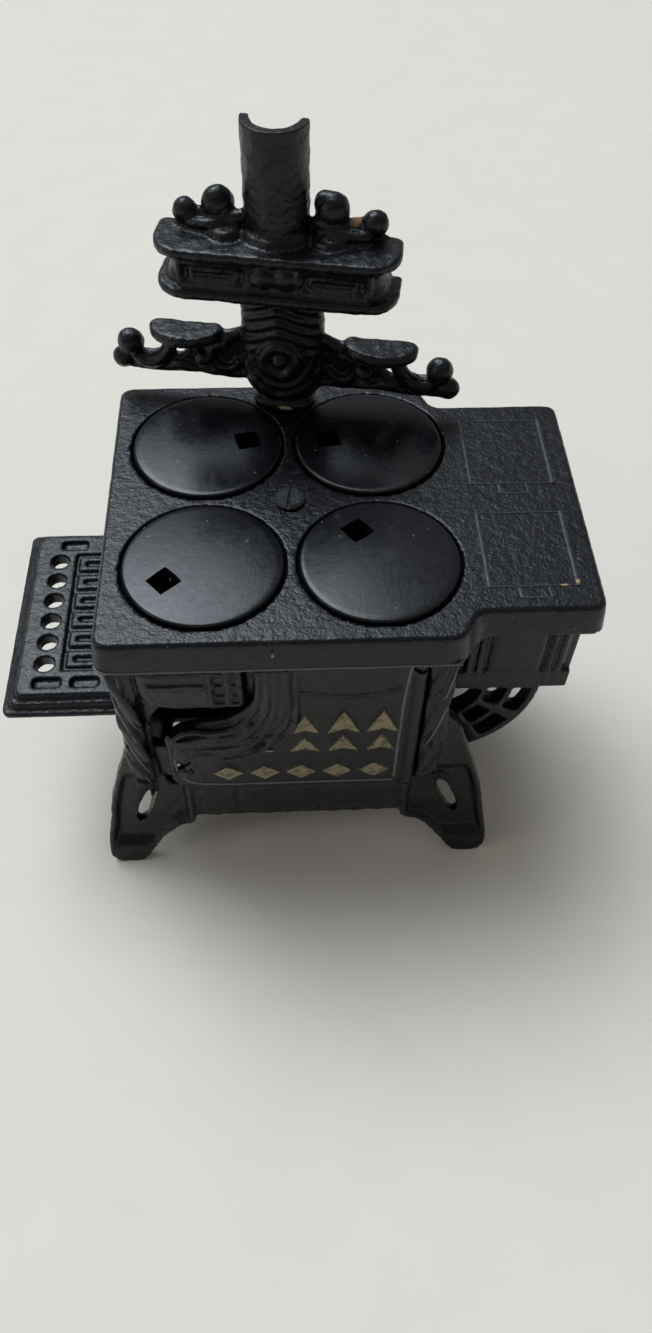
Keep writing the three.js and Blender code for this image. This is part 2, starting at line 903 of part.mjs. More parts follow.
// The bulge is a rounded bowl with a bar across it and a lattice tile at its right
function fireboxBulge() {
  const corners = [bulgeCorner, bulgeSmallCorner, 0, 0];
  const points = rectanglePoints(-bulgeLeft, -bulgeRight, bulgeBottom, reliefTop);
  const face = panelFace + bulgeProud;
  const bowl = loft(
    [
      { at: panelInner, outline: roundedOutline(points, corners) },
      { at: face - bulgeRound, outline: roundedOutline(points, corners) },
      { at: face - bulgeRound / 3, outline: roundedOutline(points, corners, -bulgeRound / 4) },
      { at: face, outline: roundedOutline(points, corners, -bulgeRound) },
    ],
    facingFront,
  );
  const barLeft = -bulgeLeft + bulgeSmallCorner * 2;
  const barFoot = bulgeBottom + bulgeBarUp;
  const bar = prism(
    rectangle(barLeft, barLeft + bulgeBarLength, barFoot, barFoot + bulgeBarHeight, bulgeBarHeight / 3),
    panelFace,
    face + bulgeBarProud,
    facingFront,
    2,
  );
  const tileRight = -bulgeRight - tileMargin;
  const tileLeft = tileRight - tileWidth;
  const tileTop = reliefTop - tileMargin;
  const tileBottom = bulgeBottom + tileMargin * 2;
  const tile = prism(rectangle(tileLeft, tileRight, tileBottom, tileTop), face - tileDepth, face + overrun, facingFront);
  const middle = (tileLeft + tileRight) / 2;
  const bars = [0, 1, 2].map((i) => {
    const z = tileBottom + ((i + 0.5) * (tileTop - tileBottom)) / 3;
    return prism(rectangle(tileLeft, tileRight, z, z + tileBar), panelFace, face - tileDepth / 3, facingFront);
  });
  bars.push(prism(rectangle(middle, middle + tileBar, tileBottom, tileTop), panelFace, face - tileDepth / 3, facingFront));
  return joined(without(bowl, tile), bars, bar);
}

function doorLugs() {
  const reach = doorHingeForward - panelFace;
  const lowTop = doorBottom - seatGap;
  const spans = [
    [lowTop - lugHeight, lowTop],
    [reliefTop - lugHeight, reliefTop],
  ];
  return spans.map(([from, to]) => {
    const eye = post(doorHingeAcross, -doorHingeForward, lugRadius, from, to, smallRoundSteps);
    const root = block(
      doorHingeAcross - lugRadius,
      doorHingeAcross + lugRadius,
      -panelFace - reach,
      -panelInner,
      from,
      to,
    );
    return joined(eye, root);
  });
}

// All that lies beside the apron's hollow, from just under the apron up to the plate's top
function apronBand(frame) {
  const reach = 2 * wingRight;
  const low = apronBottom - seatGap;
  const hollow = new THREE.Shape(plateOutline(-apronWall - seatGap));
  return without(
    prism(rectangle(-reach, reach, -reach, reach), low, plateTop, frame),
    prism(hollow, low - overrun, plateTop + overrun, frame),
  );
}

function sidePanel({ side, wall: reach }, slots) {
  const outer = side * reach;
  const inner = side * (reach - sideWall);
  const foot = baseTop + seatGap;
  const wall = block(Math.min(outer, inner), Math.max(outer, inner), -sidePanelHalf, sidePanelHalf, foot, bodyTop);
  return without(wall, slots, sideFrameGroove(outer, foot), apronBand(upright));
}

// A shallow groove that draws a frame on the panel's outer face
function sideFrameGroove(face, foot) {
  const near = sidePanelHalf - sideFrameInset;
  const far = near - sideFrameWidth;
  const low = foot + sideFrameInset;
  const high = apronBottom - sideFrameInset;
  return without(
    prism(rectangle(-near, near, low, high), face - sideFrameDepth, face + sideFrameDepth, facingRight),
    prism(
      rectangle(-far, far, low + sideFrameWidth, high - sideFrameWidth),
      face - overrun,
      face + overrun,
      facingRight,
    ),
  );
}

// A hook reaches through the wall and hangs its lip down inside
function hook({ side, wall }, y, z) {
  const root = side * (wall + seatGap + overrun);
  const inside = side * (wall - sideWall - hookClearance);
  const tip = inside - side * hookLip;
  const half = hookWidth / 2;
  const arm = block(Math.min(root, tip), Math.max(root, tip), y - half, y + half, z, z + hookThickness);
  const lip = block(Math.min(inside, tip), Math.max(inside, tip), y - half, y + half, z - hookDrop, z + hookThickness);
  return joined(arm, lip);
}

// The slot lets the hook in raised, then lets it drop
function hookSlot({ side, wall }, y, z) {
  const half = hookWidth / 2 + hookClearance;
  const outer = side * (wall + overrun);
  const inner = side * (wall - sideWall - overrun);
  const top = z + hookThickness + hookDrop + 2 * hookClearance;
  return block(Math.min(outer, inner), Math.max(outer, inner), y - half, y + half, z - hookClearance, top);
}

function basePlate() {
  const body = block(-bodyLeft, bodyRight, -sidePanelHalf, sidePanelHalf, baseBottom, baseTop);
  const ashHole = block(-ashHoleLeft, -ashHoleRight, -ashHoleFront, -ashHoleBack, baseBottom - overrun, baseTop + overrun);
  const boltHole = post(0, 0, boltHoleRadius, baseBottom - overrun, baseTop + overrun, smallRoundSteps);
  return without(body, ashHole, boltHole);
}

// Oven door: the plate with its swept hearth, ribs, raised ornament and hinge barrel
function ovenDoor() {
  const hearthHeight = hearthTop - doorBottom;
  const sweep = hearthShares.map(([across, up]) => [-across * doorLeft, doorBottom + up * hearthHeight]);
  const points = [
    [doorRight, doorTop],
    [-doorNeck, doorTop],
    ...sweep.reverse(),
    [-doorLeft + knobRadius, doorBottom],
    [doorRight, doorBottom],
  ];
  const outline = polygon(points);
  const plate = prism(outline, doorBack, doorFace, facingFront);
  const barrel = post(doorHingeAcross, -doorHingeForward, barrelRadius, doorBottom, hingeTop, smallRoundSteps);
  const web = block(
    doorRight - overrun,
    doorHingeAcross,
    -doorFace,
    -doorBack,
    doorBottom,
    hingeTop,
  );
  const pinHole = post(
    doorHingeAcross,
    -doorHingeForward,
    pinHoleRadius,
    doorBottom - overrun,
    hingeTop + overrun,
    smallRoundSteps,
  );
  const recess = new THREE.Shape().absellipse(
    -knobAcross,
    knobUp,
    knobRecessLong / 2,
    knobRecessWide / 2,
    0,
    2 * halfTurn,
  );
  const recessCut = prism(recess, doorFace - knobRecessDepth, doorFace + ribRadius * 3, facingFront);
  const stemHole = prism(disc(-knobAcross, knobUp, knobStemRadius + seatGap), 0, doorFace + overrun, facingFront);
  const whole = joined(plate, web, barrel, hearthPad(), doorRibs(), doorOrnament());
  return without(whole, pinHole, recessCut, stemHole);
}

function hearthPad() {
  const low = hearthTop - ribCount * ribDrop;
  const points = [
    [-doorLeft + ribRadius, low],
    [-doorNeck * 1.5, low + ribDrop * 0.6],
    [-doorNeck * 1.3, hearthTop + ribDrop * 0.5],
    [-doorLeft * 0.6, hearthTop - ribRadius],
    [-doorLeft + ribRadius, hearthTop - ribDrop * 1.6],
  ];
  const corner = ribDrop * 0.6;
  return loft(
    [
      { at: doorBack, outline: roundedOutline(points, corner) },
      { at: doorFace, outline: roundedOutline(points, corner) },
      { at: doorFace + hearthPadProud, outline: roundedOutline(points, corner, -hearthPadProud) },
    ],
    facingFront,
  );
}

// Ribs that fall from the door's top edge and sweep left along the hearth
function doorRibs() {
  const section = disc(0, 0, ribRadius);
  const ribs = [];
  for (let i = 0; i < ribCount; i++) {
    const top = doorTop - ribRadius;
    const low = hearthTop - ribRadius * 2 - i * ribDrop;
    const start = -doorNeck - ribRadius + i * ribPitch;
    const reach = doorLeft - doorNeck - ribRadius * 3 + i * ribPitch * 0.6;
    const path = new THREE.CatmullRomCurve3(
      ribShares.map(([across, up]) => {
        const lift = across < -0.2 ? hearthPadProud * 0.8 : 0;
        return new THREE.Vector3(start + across * reach, -doorFace - lift, low + up * (top - low));
      }),
    );
    const geometry = new THREE.ExtrudeGeometry(section, { extrudePath: path, steps: 18, curveSegments: 3 });
    ribs.push(solidOf(geometry));
  }
  return ribs;
}

// Two rows of arrowheads, a row of lozenges and a short dash
function doorOrnament() {
  const raised = [];
  const rows = [
    [arrowUpperFoot, arrowHeight],
    [arrowLowerFoot, arrowLowerHeight],
  ];
  for (const [foot, height] of rows) {
    for (const place of [-1, 0, 1]) {
      const middle = arrowMiddle + place * arrowPitch;
      const points = arrowShares.map(([across, up]) => [middle + across * arrowWidth, foot + up * height]);
      raised.push(polygon(points));
    }
  }
  for (let i = 0; i < lozengeCount; i++) {
    const middle = lozengeMiddle + (i - (lozengeCount - 1) / 2) * lozengePitch;
    const points = [
      [middle - lozengeWidth / 2, lozengeUp],
      [middle, lozengeUp - lozengeHeight / 2],
      [middle + lozengeWidth / 2, lozengeUp],
      [middle, lozengeUp + lozengeHeight / 2],
    ];
    raised.push(polygon(points));
  }
  const dashMiddle = -dashAcross;
  raised.push(
    rectangle(dashMiddle - dashLength / 2, dashMiddle + dashLength / 2, arrowLowerFoot, arrowLowerFoot + dashHeight),
  );
  return raised.map((shape) => prism(shape, doorBack, doorFace + ornamentProud, facingFront));
}

function hingePin() {
  const foot = doorBottom - seatGap - lugHeight + lugFloor + seatGap;
  return post(doorHingeAcross, -doorHingeForward, pinRadius, foot, reliefTop, smallRoundSteps);
}

function doorKnob() {
  const foot = doorFace - knobRecessDepth + seatGap;
  const profile = [
    [0, doorBack],
    [knobStemRadius, doorBack],
    [knobStemRadius, foot],
    [knobRadius, foot],
    [knobRadius, foot + knobHeight / 2],
    [knobRadius * 0.6, foot + knobHeight],
    [0, foot + knobHeight],
  ];
  const geometry = turnedProfile(profile, smallRoundSteps).applyMatrix4(facingFront);
  return solidOf(geometry.translate(-knobAcross, 0, knobUp));
}

// Side shelf: a tray with a stepped rim, six holes, sunk pockets and a sunk fret
function sideShelf() {
  const inner = -besideLeftWall;
  const body = loft(
    shelfRimHeightShares.map((share, i) => ({
      at: shelfTop - shelfRimHeight * (1 - share),
      outline: shelfOutline(shelfRimStepShares[i] * shelfRimStep, inner),
    })),
  );
  const under = block(
    -shelfOuter + shelfRimWall,
    inner - shelfRimWall,
    -shelfFront + shelfRimWall,
    shelfBack - shelfRimWall,
    shelfTop - shelfRimHeight - overrun,
    shelfTop - shelfPlate,
  );
  const hooks = [-1, 1].map((place) => hook(leftSide, shelfMiddle() + place * shelfHookSpread, shelfHookFoot()));
  return joined(without(body, under, shelfHoles(), shelfPockets(), fretPanel()), hooks);
}

function shelfMiddle() {
  return (shelfBack - shelfFront) / 2;
}

function shelfHookFoot() {
  return shelfTop - shelfRimHeight;
}

// The shelf's outline let out on its three free sides, its corners kept as tight as on top
function shelfOutline(out, wall) {
  const points = rectanglePoints(-shelfOuter - out, wall, -shelfFront - out, shelfBack + out);
  return roundedOutline(points, [shelfCorner, 0, 0, shelfCorner]);
}

function shelfHoles() {
  const x = -shelfOuter + shelfHoleInset;
  const holes = [];
  for (let i = 0; i < shelfHoleCount; i++) {
    const y = -shelfHoleFirst + i * shelfHolePitch;
    holes.push(post(x, y, shelfHoleRadius, shelfTop - shelfRimHeight, shelfTop + overrun, smallRoundSteps));
  }
  return holes;
}

function shelfPockets() {
  const floor = shelfTop - pocketDepth;
  const x = -shelfOuter + shelfHoleInset;
  const places = [
    [x - pocketWidth / 3, -shelfFront + pocketInset],
    [x + pocketWidth, -shelfFront + pocketInset],
    [x, shelfBack - pocketInset - pocketLength],
  ];
  return places.map(([left, front]) =>
    prism(rectangle(left, left + pocketWidth, front, front + pocketLength, pocketLength / 3), floor, shelfTop + overrun, upright, 3),
  );
}

// A sunk panel along the shelf, with a row of plain raised blocks
function fretPanel() {
  const x0 = -shelfOuter + fretInset;
  const x1 = -besideLeftWall - fretMargin;
  const y0 = -shelfFront + fretFrontInset;
  const y1 = shelfBack - fretBackInset;
  const floor = shelfTop - fretDepth;
  const sunk = block(x0, x1, y0, y1, floor, shelfTop + overrun);
  const length = (y1 - y0 - fretMargin * 2 + fretBlockGap) / fretBlockCount - fretBlockGap;
  const blocks = [];
  for (let i = 0; i < fretBlockCount; i++) {
    const from = y0 + fretMargin + i * (length + fretBlockGap);
    const outer = block(x0 + fretMargin, x1 - fretMargin, from, from + length, floor - overrun, shelfTop + 2 * overrun);
    const inset = fretMargin * 1.4;
    const inner = block(
      x0 + fretMargin + inset,
      x1 - fretMargin - inset,
      from + inset,
      from + length - inset,
      floor - overrun,
      shelfTop + 2 * overrun,
    );
    blocks.push(without(outer, inner));
  }
  return without(sunk, blocks);
}

// Reservoir: a box open at the top, with a pillow panel between flutes over a moulding
function reservoir() {
  const box = block(besideRightWall, reservoirRight, -reservoirFront, reservoirBack, reservoirBottom, bodyTop);
  const inside = block(
    besideRightWall + reservoirWall,
    reservoirRight - reservoirWall,
    -reservoirFront + reservoirWall,
    reservoirBack - reservoirWall,
    reservoirBottom + reservoirWall,
    bodyTop + overrun,
  );
  const face = reservoirFront + reservoirMouldingProud;
  const moulding = prism(
    rectangle(besideRightWall, reservoirRight, reservoirBottom, reservoirBottom + reservoirMoulding, 0),
    reservoirFront - reservoirWall,
    face,
    facingFront,
  );
  const half = pillowWidth / 2;
  const points = rectanglePoints(pillowMiddle - half, pillowMiddle + half, pillowBottom, pillowTop);
  const pillow = loft(
    [
      { at: reservoirFront - reservoirWall / 2, outline: roundedOutline(points, pillowRound) },
      { at: reservoirFront + pillowProud * 0.6, outline: roundedOutline(points, pillowRound) },
      { at: reservoirFront + pillowProud, outline: roundedOutline(points, pillowRound, -pillowRound) },
    ],
    facingFront,
  );
  const flutes = [];
  for (const side of [-1, 1]) {
    for (let i = 0; i < fluteCountEachSide; i++) {
      const x = pillowMiddle + side * (half + flutePitch * (i + 0.75));
      flutes.push(post(x, -reservoirFront, fluteRadius, reservoirBottom + overrun, pillowTop, smallRoundSteps));
    }
  }
  const hooks = [-1, 1].map((place) => hook(rightSide, place * reservoirHookSpread, reservoirHookUp));
  return joined(without(joined(box, moulding), inside), pillow, flutes, hooks);
}

// Bracket: a quarter round lattice with an open heart and two rows of cells between spokes
function bracket(place) {
  const near = place < 0 ? reservoirFront - bracketThickness : -reservoirBack;
  const far = near + bracketThickness;
  const cut = (shape) => prism(shape, near - overrun, far + overrun, facingFront);
  const cells = [];
  for (const [from, to] of bracketRingShares) {
    for (let i = 0; i < bracketCells; i++) {
      const start = (i + bracketSpokeShare) / bracketCells;
      const end = (i + 1 - bracketSpokeShare) / bracketCells;
      cells.push(cut(cellShape(from, to, start, end)));
    }
  }
  const heart = cut(cellShape(...bracketHeartShares));
  const lattice = without(prism(ellipseArcShape(1), near, far, facingFront), cells, heart);
  return joined(lattice, hook(rightSide, -(near + far) / 2, bracketHookUp));
}

// A point of the quarter ellipse: its share of the size, and of the quarter turn below the level
function bracketPoint(share, turn) {
  const angle = (turn * halfTurn) / 2;
  const x = besideRightWall + share * bracketReach * Math.cos(angle);
  const z = reservoirBottom - seatGap - share * bracketDrop * Math.sin(angle);
  return new THREE.Vector2(x, z);
}

function ellipseArcShape(share) {
  const points = [bracketPoint(0, 0)];
  for (let i = 0; i <= roundSteps; i++) points.push(bracketPoint(share, i / roundSteps));
  return new THREE.Shape(points);
}

function cellShape(from, to, start, end) {
  const points = [];
  for (let i = 0; i <= curveSteps; i++) points.push(bracketPoint(to, start + (end - start) * (i / curveSteps)));
  for (let i = curveSteps; i >= 0; i--) points.push(bracketPoint(from, start + (end - start) * (i / curveSteps)));
  return new THREE.Shape(points);
}

// Where the stack's tenon stands on the plate, after the stack's turn
function tenonPlace() {
  const x = stackAcross + tenonForward * Math.sin(stackTurn);
  const y = stackBack - tenonForward * Math.cos(stackTurn);
  return [x, y];
}

// The stack is modelled facing front round its own upright, then turned as a whole
function addStack() {
  const turned = new THREE.Group();
  turned.position.set(stackAcross, stackBack, plateTop);
  turned.rotation.z = stackTurn;
  stove.add(turned);
  const tenon = post(0, -tenonForward, tenonRadius, -plateThickness, columnWall * 2, smallRoundSteps);
  const solid = joined(stackColumn(), tenon, [-1, 1].map(stackArm), warmingCloset(), gallery(), flue());
  piece("stack", solid, castIron, turned);
}

function halfRound(halfWidth, forward, back = stackBackFace) {
  const points = [];
  for (let i = 0; i <= smallRoundSteps; i++) {
    const angle = halfTurn * (1 + i / smallRoundSteps);
    points.push(new THREE.Vector2(halfWidth * Math.cos(angle), forward * Math.sin(angle)));
  }
  points.push(new THREE.Vector2(halfWidth, back), new THREE.Vector2(-halfWidth, back));
  return points;
}

function stackColumn() {
  const levels = columnLevelShares.map(([up, wide]) => ({
    at: seatGap + up * (columnTop - seatGap),
    outline: halfRound(wide * columnHalfWidth, wide * columnForward),
  }));
  const core = halfRound(columnHalfWidth - 2 * columnWall, columnForward - columnWall, stackBackFace + overrun);
  const hollow = prism(new THREE.Shape(core), columnWall * 3, columnTop);
  return joined(without(loft(levels), hollow), chevrons(), columnBoss());
}

// Raised chevrons that follow the column's round front
function chevrons() {
  const skin = prism(
    new THREE.Shape(halfRound(columnHalfWidth + chevronProud, columnForward + chevronProud)),
    0,
    columnTop,
  );
  const half = columnHalfWidth;
  const list = [];
  for (let i = 0; i < chevronCount; i++) {
    const z = chevronFirst + i * chevronPitch;
    const shape = new THREE.Shape([
      new THREE.Vector2(-half, z - chevronRise),
      new THREE.Vector2(0, z),
      new THREE.Vector2(half, z - chevronRise),
      new THREE.Vector2(half, z - chevronRise + chevronWidth),
      new THREE.Vector2(0, z + chevronWidth),
      new THREE.Vector2(-half, z - chevronRise + chevronWidth),
    ]);
    list.push(prism(shape, columnForward * 0.3, columnForward + overrun, facingFront).intersect(skin));
  }
  return list;
}

function columnBoss() {
  const foot = columnForward - bossRingTube;
  const ring = new THREE.TorusGeometry(bossRing, bossRingTube, 8, 24);
  ring.translate(0, 0, foot + bossRingTube / 2).applyMatrix4(facingFront).translate(0, 0, bossUp);
  const backing = prism(disc(0, bossUp, bossRing), columnForward / 2, foot + bossRingTube / 2, facingFront, roundSteps / 2);
  const dome = ellipsoid(0, -foot - bossRingTube / 2, bossUp, bossDome, bossDome, bossDome);
  return [solidOf(ring), backing, dome];
}

function stackArm(side) {
  const height = armTop - armBottom;
  const points = armShares.map(([across, up]) => [side * across * armReach, armBottom + up * height]);
  const half = armThickness / 2;
  const closed = [...points, points[0]];
  const arm = prism(smoothShape(closed), -half, half, facingFront);
  const eye = new THREE.Shape().absellipse(
    side * armHoleAcross,
    armHoleUp,
    armHoleLong,
    armHoleHigh,
    0,
    2 * halfTurn,
  );
  const hole = prism(eye, -armThickness, armThickness, facingFront);
  const chord = new THREE.Shape().absellipse(side * trivetMiddle, half, trivetHalfWidth, trivetReach + half, halfTurn, 2 * halfTurn);
  const trivet = prism(chord, trivetTop - trivetThickness, trivetTop);
  const endBall = ellipsoid(side * (armReach - armEndBall), 0, armBottom + height * 0.55, armEndBall, armEndBall, armEndBall);
  const tipBall = ellipsoid(side * armReach, 0, armBottom + height * 0.2, armTipBall, armTipBall, armTipBall);
  return joined(without(arm, hole), trivet, endBall, tipBall);
}

// Warming closet: a box between a ledge and an overhanging slab, open at the back
function warmingCloset() {
  const slabFoot = closetTop - closetSlabHeight;
  const ledgeFoot = columnTop - closetLedgeHeight / 2;
  const ledgeRise = ledgeFoot + closetLedgeHeight;
  const slab = closetPlan(closetHalfWidth + closetSlabOverhang, closetForward + closetFrontLip);
  const ledge = closetPlan(closetHalfWidth + closetLedgeOverhang, closetForward + closetFrontLip);
  const box = closetPlan(closetHalfWidth, closetForward);
  const hollow = block(
    -closetHalfWidth + closetWall,
    closetHalfWidth - closetWall,
    -closetForward + closetWall,
    stackBackFace + overrun,
    ledgeRise,
    slabFoot,
  );
  const body = joined(prism(box, ledgeFoot, slabFoot + overrun), prism(slab, slabFoot, closetTop), prism(ledge, ledgeFoot, ledgeRise));
  return without(joined(body, drawerFronts(ledgeRise, slabFoot)), hollow);
}

function closetPlan(half, forward) {
  const points = [
    [-half, -forward],
    [half, -forward],
    [half, stackBackFace],
    [-half, stackBackFace],
  ];
  return roundedShape(points, [closetCorner, closetCorner, 0, 0]);
}

function drawerFronts(foot, head) {
  const middle = (foot + head) / 2;
  const fronts = [-1, 1].flatMap((side) => {
    const x = side * drawerMiddle;
    const outer = rectangle(x - drawerHalfWidth, x + drawerHalfWidth, middle - drawerHeight / 2, middle + drawerHeight / 2);
    const inner = rectangle(
      x - drawerHalfWidth + drawerFrame,
      x + drawerHalfWidth - drawerFrame,
      middle - drawerHeight / 2 + drawerFrame,
      middle + drawerHeight / 2 - drawerFrame,
    );
    const bar = rectangle(
      x - drawerHalfWidth + 2 * drawerFrame,
      x + drawerHalfWidth - 2 * drawerFrame,
      middle - drawerFrame / 2,
      middle + drawerFrame / 2,
    );
    const face = closetForward + drawerProud;
    return [
      without(prism(outer, closetForward - overrun, face, facingFront), prism(inner, closetForward, face + overrun, facingFront)),
      prism(bar, closetForward - overrun, face, facingFront),
    ];
  });
  const clasp = rectangle(-claspHalfWidth, claspHalfWidth, middle - claspHeight / 2, middle + claspHeight / 2, claspProud);
  fronts.push(prism(clasp, closetForward - overrun, closetForward + claspProud, facingFront, 2));
  return fronts;
}

// The gallery along the back of the closet top, with its balls and leaf mounds
function gallery() {
  const points = galleryShares.map(([across, up]) => [
    across * galleryHalfLength,
    closetTop + up * galleryHeight,
  ]);
  const foot = closetTop - closetSlabHeight / 2;
  points.push([galleryHalfLength, foot], [-galleryHalfLength, foot]);
  const outline = polygon(points);
  const wall = prism(outline, -stackBackFace, galleryThickness - stackBackFace, facingFront);
  const balls = galleryBalls.map(([x, up, radius]) => ellipsoid(x, -ballForward, closetTop + up, radius, radius * 0.9, radius));
  const mounds = galleryMounds.map(([x, forward]) => ellipsoid(x, -forward, closetTop, moundLong, moundLong * 0.8, moundHigh));
  return joined(wall, balls, mounds);
}

// The flue is a half round pipe, open at its back above the gallery
function flue() {
  const foot = closetTop - closetSlabHeight / 2;
  const pipe = prism(halfShell(flueRadius), foot, flueTop, upright, smallRoundSteps);
  const collar = prism(halfShell(flueRadius + flueCollar), foot, closetTop + flueCollarHeight, upright, smallRoundSteps);
  const bore = post(flueAcross, 0, flueRadius - flueWall, closetTop, flueTop + overrun, smallRoundSteps);
  const open = block(
    flueAcross - flueRadius,
    flueAcross + flueRadius,
    0,
    flueRadius,
    closetTop + galleryHeight,
    flueTop + overrun,
  );
  return without(joined(pipe, collar), bore, open);
}

function halfShell(radius) {
  const shape = new THREE.Shape();
  shape.absarc(flueAcross, 0, radius, halfTurn, 2 * halfTurn);
  shape.lineTo(flueAcross + radius, stackBackFace);
  shape.lineTo(flueAcross - radius, stackBackFace);
  return shape;
}

// The stove is moved so that its origin is under the middle of its box, on the ground
function centreOverOrigin() {
  const box = new THREE.Box3();
  stove.updateMatrixWorld(true);
  stove.traverse((node) => {
    if (node.isMesh) box.expandByObject(node, true);
  });
  const middle = box.getCenter(new THREE.Vector3());
  stove.position.set(-middle.x, -middle.y, -box.min.z);
}

piece("top_plate", topPlate());
addLids();
piece("through_bolt", throughBolt(), steel);
piece("bolt_nut", boltNut(), steel);
piece("front_panel", frontPanel());
const swappedSides = bodySides.map((place) => ({ ...place, side: -place.side }));
const back = piece("back_panel", panelCasting(new THREE.Matrix4().makeRotationZ(halfTurn), swappedSides));
back.rotation.z = halfTurn;
const shelfSlots = [-1, 1].map((place) => hookSlot(leftSide, shelfMiddle() + place * shelfHookSpread, shelfHookFoot()));
const bracketEnds = [-reservoirFront + bracketThickness / 2, reservoirBack - bracketThickness / 2];
const reservoirSlots = [
  ...[-1, 1].map((place) => hookSlot(rightSide, place * reservoirHookSpread, reservoirHookUp)),
  ...bracketEnds.map((y) => hookSlot(rightSide, y, bracketHookUp)),
];
piece("left_side_panel", sidePanel(leftSide, shelfSlots));
piece("right_side_panel", sidePanel(rightSide, reservoirSlots));
piece("base_plate", basePlate());
piece("oven_door", ovenDoor());
piece("door_hinge_pin", hingePin(), steel);
piece("door_knob", doorKnob(), steel);
piece("side_shelf", sideShelf());
piece("reservoir", reservoir());
piece("reservoir_bracket_front", bracket(-1));
piece("reservoir_bracket_back", bracket(1));
addStack();
centreOverOrigin();

export default stove;
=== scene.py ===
"""A cast iron toy stove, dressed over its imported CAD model.

Working arrays hold millimetres. A shell is one closed surface: its points and its faces. The layout runs
across, back and up, with its middle at the crossing between the four lids.
"""

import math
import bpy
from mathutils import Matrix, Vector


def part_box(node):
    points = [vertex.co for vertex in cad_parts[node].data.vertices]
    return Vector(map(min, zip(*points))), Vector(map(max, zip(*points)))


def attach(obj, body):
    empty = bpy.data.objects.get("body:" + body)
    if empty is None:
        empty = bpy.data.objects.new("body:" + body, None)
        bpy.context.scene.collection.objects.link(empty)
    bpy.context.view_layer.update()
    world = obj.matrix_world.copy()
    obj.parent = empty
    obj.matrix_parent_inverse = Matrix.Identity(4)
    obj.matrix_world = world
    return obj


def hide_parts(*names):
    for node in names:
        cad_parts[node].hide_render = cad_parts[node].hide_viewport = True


bl_info = {
    "name": "Cast iron toy stove",
    "version": (1, 0, 0),
    "blender": (4, 5, 0),
    "location": "View3D > Sidebar > Toy stove",
    "description": "Builds the castings, small steel parts and the stage of a toy cooking stove",
    "category": "Add Mesh",
}

import bmesh
import bpy
import numpy as np
from mathutils import Matrix, Vector

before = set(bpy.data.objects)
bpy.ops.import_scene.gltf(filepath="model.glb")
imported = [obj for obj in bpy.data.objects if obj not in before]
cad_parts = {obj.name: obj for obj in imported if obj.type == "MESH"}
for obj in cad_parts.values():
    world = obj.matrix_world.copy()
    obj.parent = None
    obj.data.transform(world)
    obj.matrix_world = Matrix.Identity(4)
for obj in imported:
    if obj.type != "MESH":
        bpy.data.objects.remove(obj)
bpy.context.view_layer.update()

MM = 0.001
FORWARD = (0, -1, 0)
UPWARD = (0, 0, 1)

# Points nearer than this, in metres, are merged
CREVICE = 1e-7

# Keeps a divisor above nothing, and the last sample on its curve
TINY = 1e-9

# Corners sharper than this stay sharp on a surface that isn't a casting
SHARP = math.radians(38)

# Where the layout's middle stands in the frame, and the height of the plate's face
SHIFT = np.array([0.8, -0.725, 0.0])
PLATE_TOP = 80.0

# The stack's own upright axis, where it stands on the plate, and how far it is turned
STACK_FOOT = SHIFT + np.array([-0.4, 32.0, PLATE_TOP])
STACK_TURN = math.radians(-10.5)

# The finishes, each by the name of its material
CAST = "black_paint_on_cast_iron"
LID = "gloss_black_paint_on_lids"
RUBBED = "rubbed_raised_lines"
# Light grey for thin lines along lit edges: a painted highlight
PAINTED_HIGHLIGHT = "painted_highlight_grey"
PRIMER = "bare_tan_primer"
RUST = "brown_rust"
# Near white for a small painted glint
PAINTED_GLINT = "painted_glint_white"
GOLD = "gold_bronze_paint"
STEEL = "dark_mild_steel"

# The record's material slot behind a finish; gold paint, primer, rust and the painted glint have none
RECORD_SLOTS = dict.fromkeys((CAST, LID, RUBBED, PAINTED_HIGHLIGHT), "cast_iron_black") | {STEEL: "steel_dark"}


# ---- settings


def length_setting(name, description, default):
    return bpy.props.FloatProperty(
        name=name, description=description, subtype="DISTANCE", unit="LENGTH", default=default
    )


def colour_setting(name, description, default):
    return bpy.props.FloatVectorProperty(
        name=name, description=description, subtype="COLOR", size=3, min=0, max=1, default=default
    )


class StovePaint(bpy.types.PropertyGroup):
    paint: colour_setting("Paint", "Colour of the black paint", (0.0026, 0.0032, 0.0048))
    gold: colour_setting("Gold paint", "Colour of the painted ornament", (0.27, 0.225, 0.135))
    gloss: bpy.props.FloatProperty(
        name="Roughness", description="Roughness of the painted castings", min=0, max=1, default=0.31
    )
    grain: length_setting("Sand grain", "Size of the casting sand's grain", 0.00055)


class StoveCasting(bpy.types.PropertyGroup):
    voxel: length_setting("Casting detail", "Finest detail that a casting keeps", 0.0004)
    softness: bpy.props.IntProperty(
        name="Softness", description="How far the edges of a casting are softened", min=0, max=20, default=4
    )
    leg_dish: length_setting("Leg dish", "Depth of the hollow in the face of a leg", 0.0018)


class StoveStage(bpy.types.PropertyGroup):
    floor: colour_setting("Floor", "Colour of the floor", (0.745, 0.695, 0.61))
    floor_size: length_setting("Floor size", "Side of the floor", 24.0)


# ---- surfaces


def grid_faces(rows, cols, close_rows=False, close_cols=False):
    """Quads between neighbouring points of a grid, wrapped round where a side closes on itself."""
    r, c = np.meshgrid(np.arange(rows - (not close_rows)), np.arange(cols - (not close_cols)), indexing="ij")
    up, right = (r + 1) % rows, (c + 1) % cols
    return np.stack([r * cols + c, r * cols + right, up * cols + right, up * cols + c], -1).reshape(-1, 4)


def closed_grid(points, turn=False):
    """A shell from a grid whose columns close on themselves and whose end rows shrink to their middles."""
    first = np.broadcast_to(points[0].mean(0), points[0].shape)
    last = np.broadcast_to(points[-1].mean(0), points[-1].shape)
    whole = np.concatenate([first[None], points, last[None]])
    faces = grid_faces(*whole.shape[:2], close_cols=True)
    return whole.reshape(-1, 3), faces[:, ::-1] if turn else faces


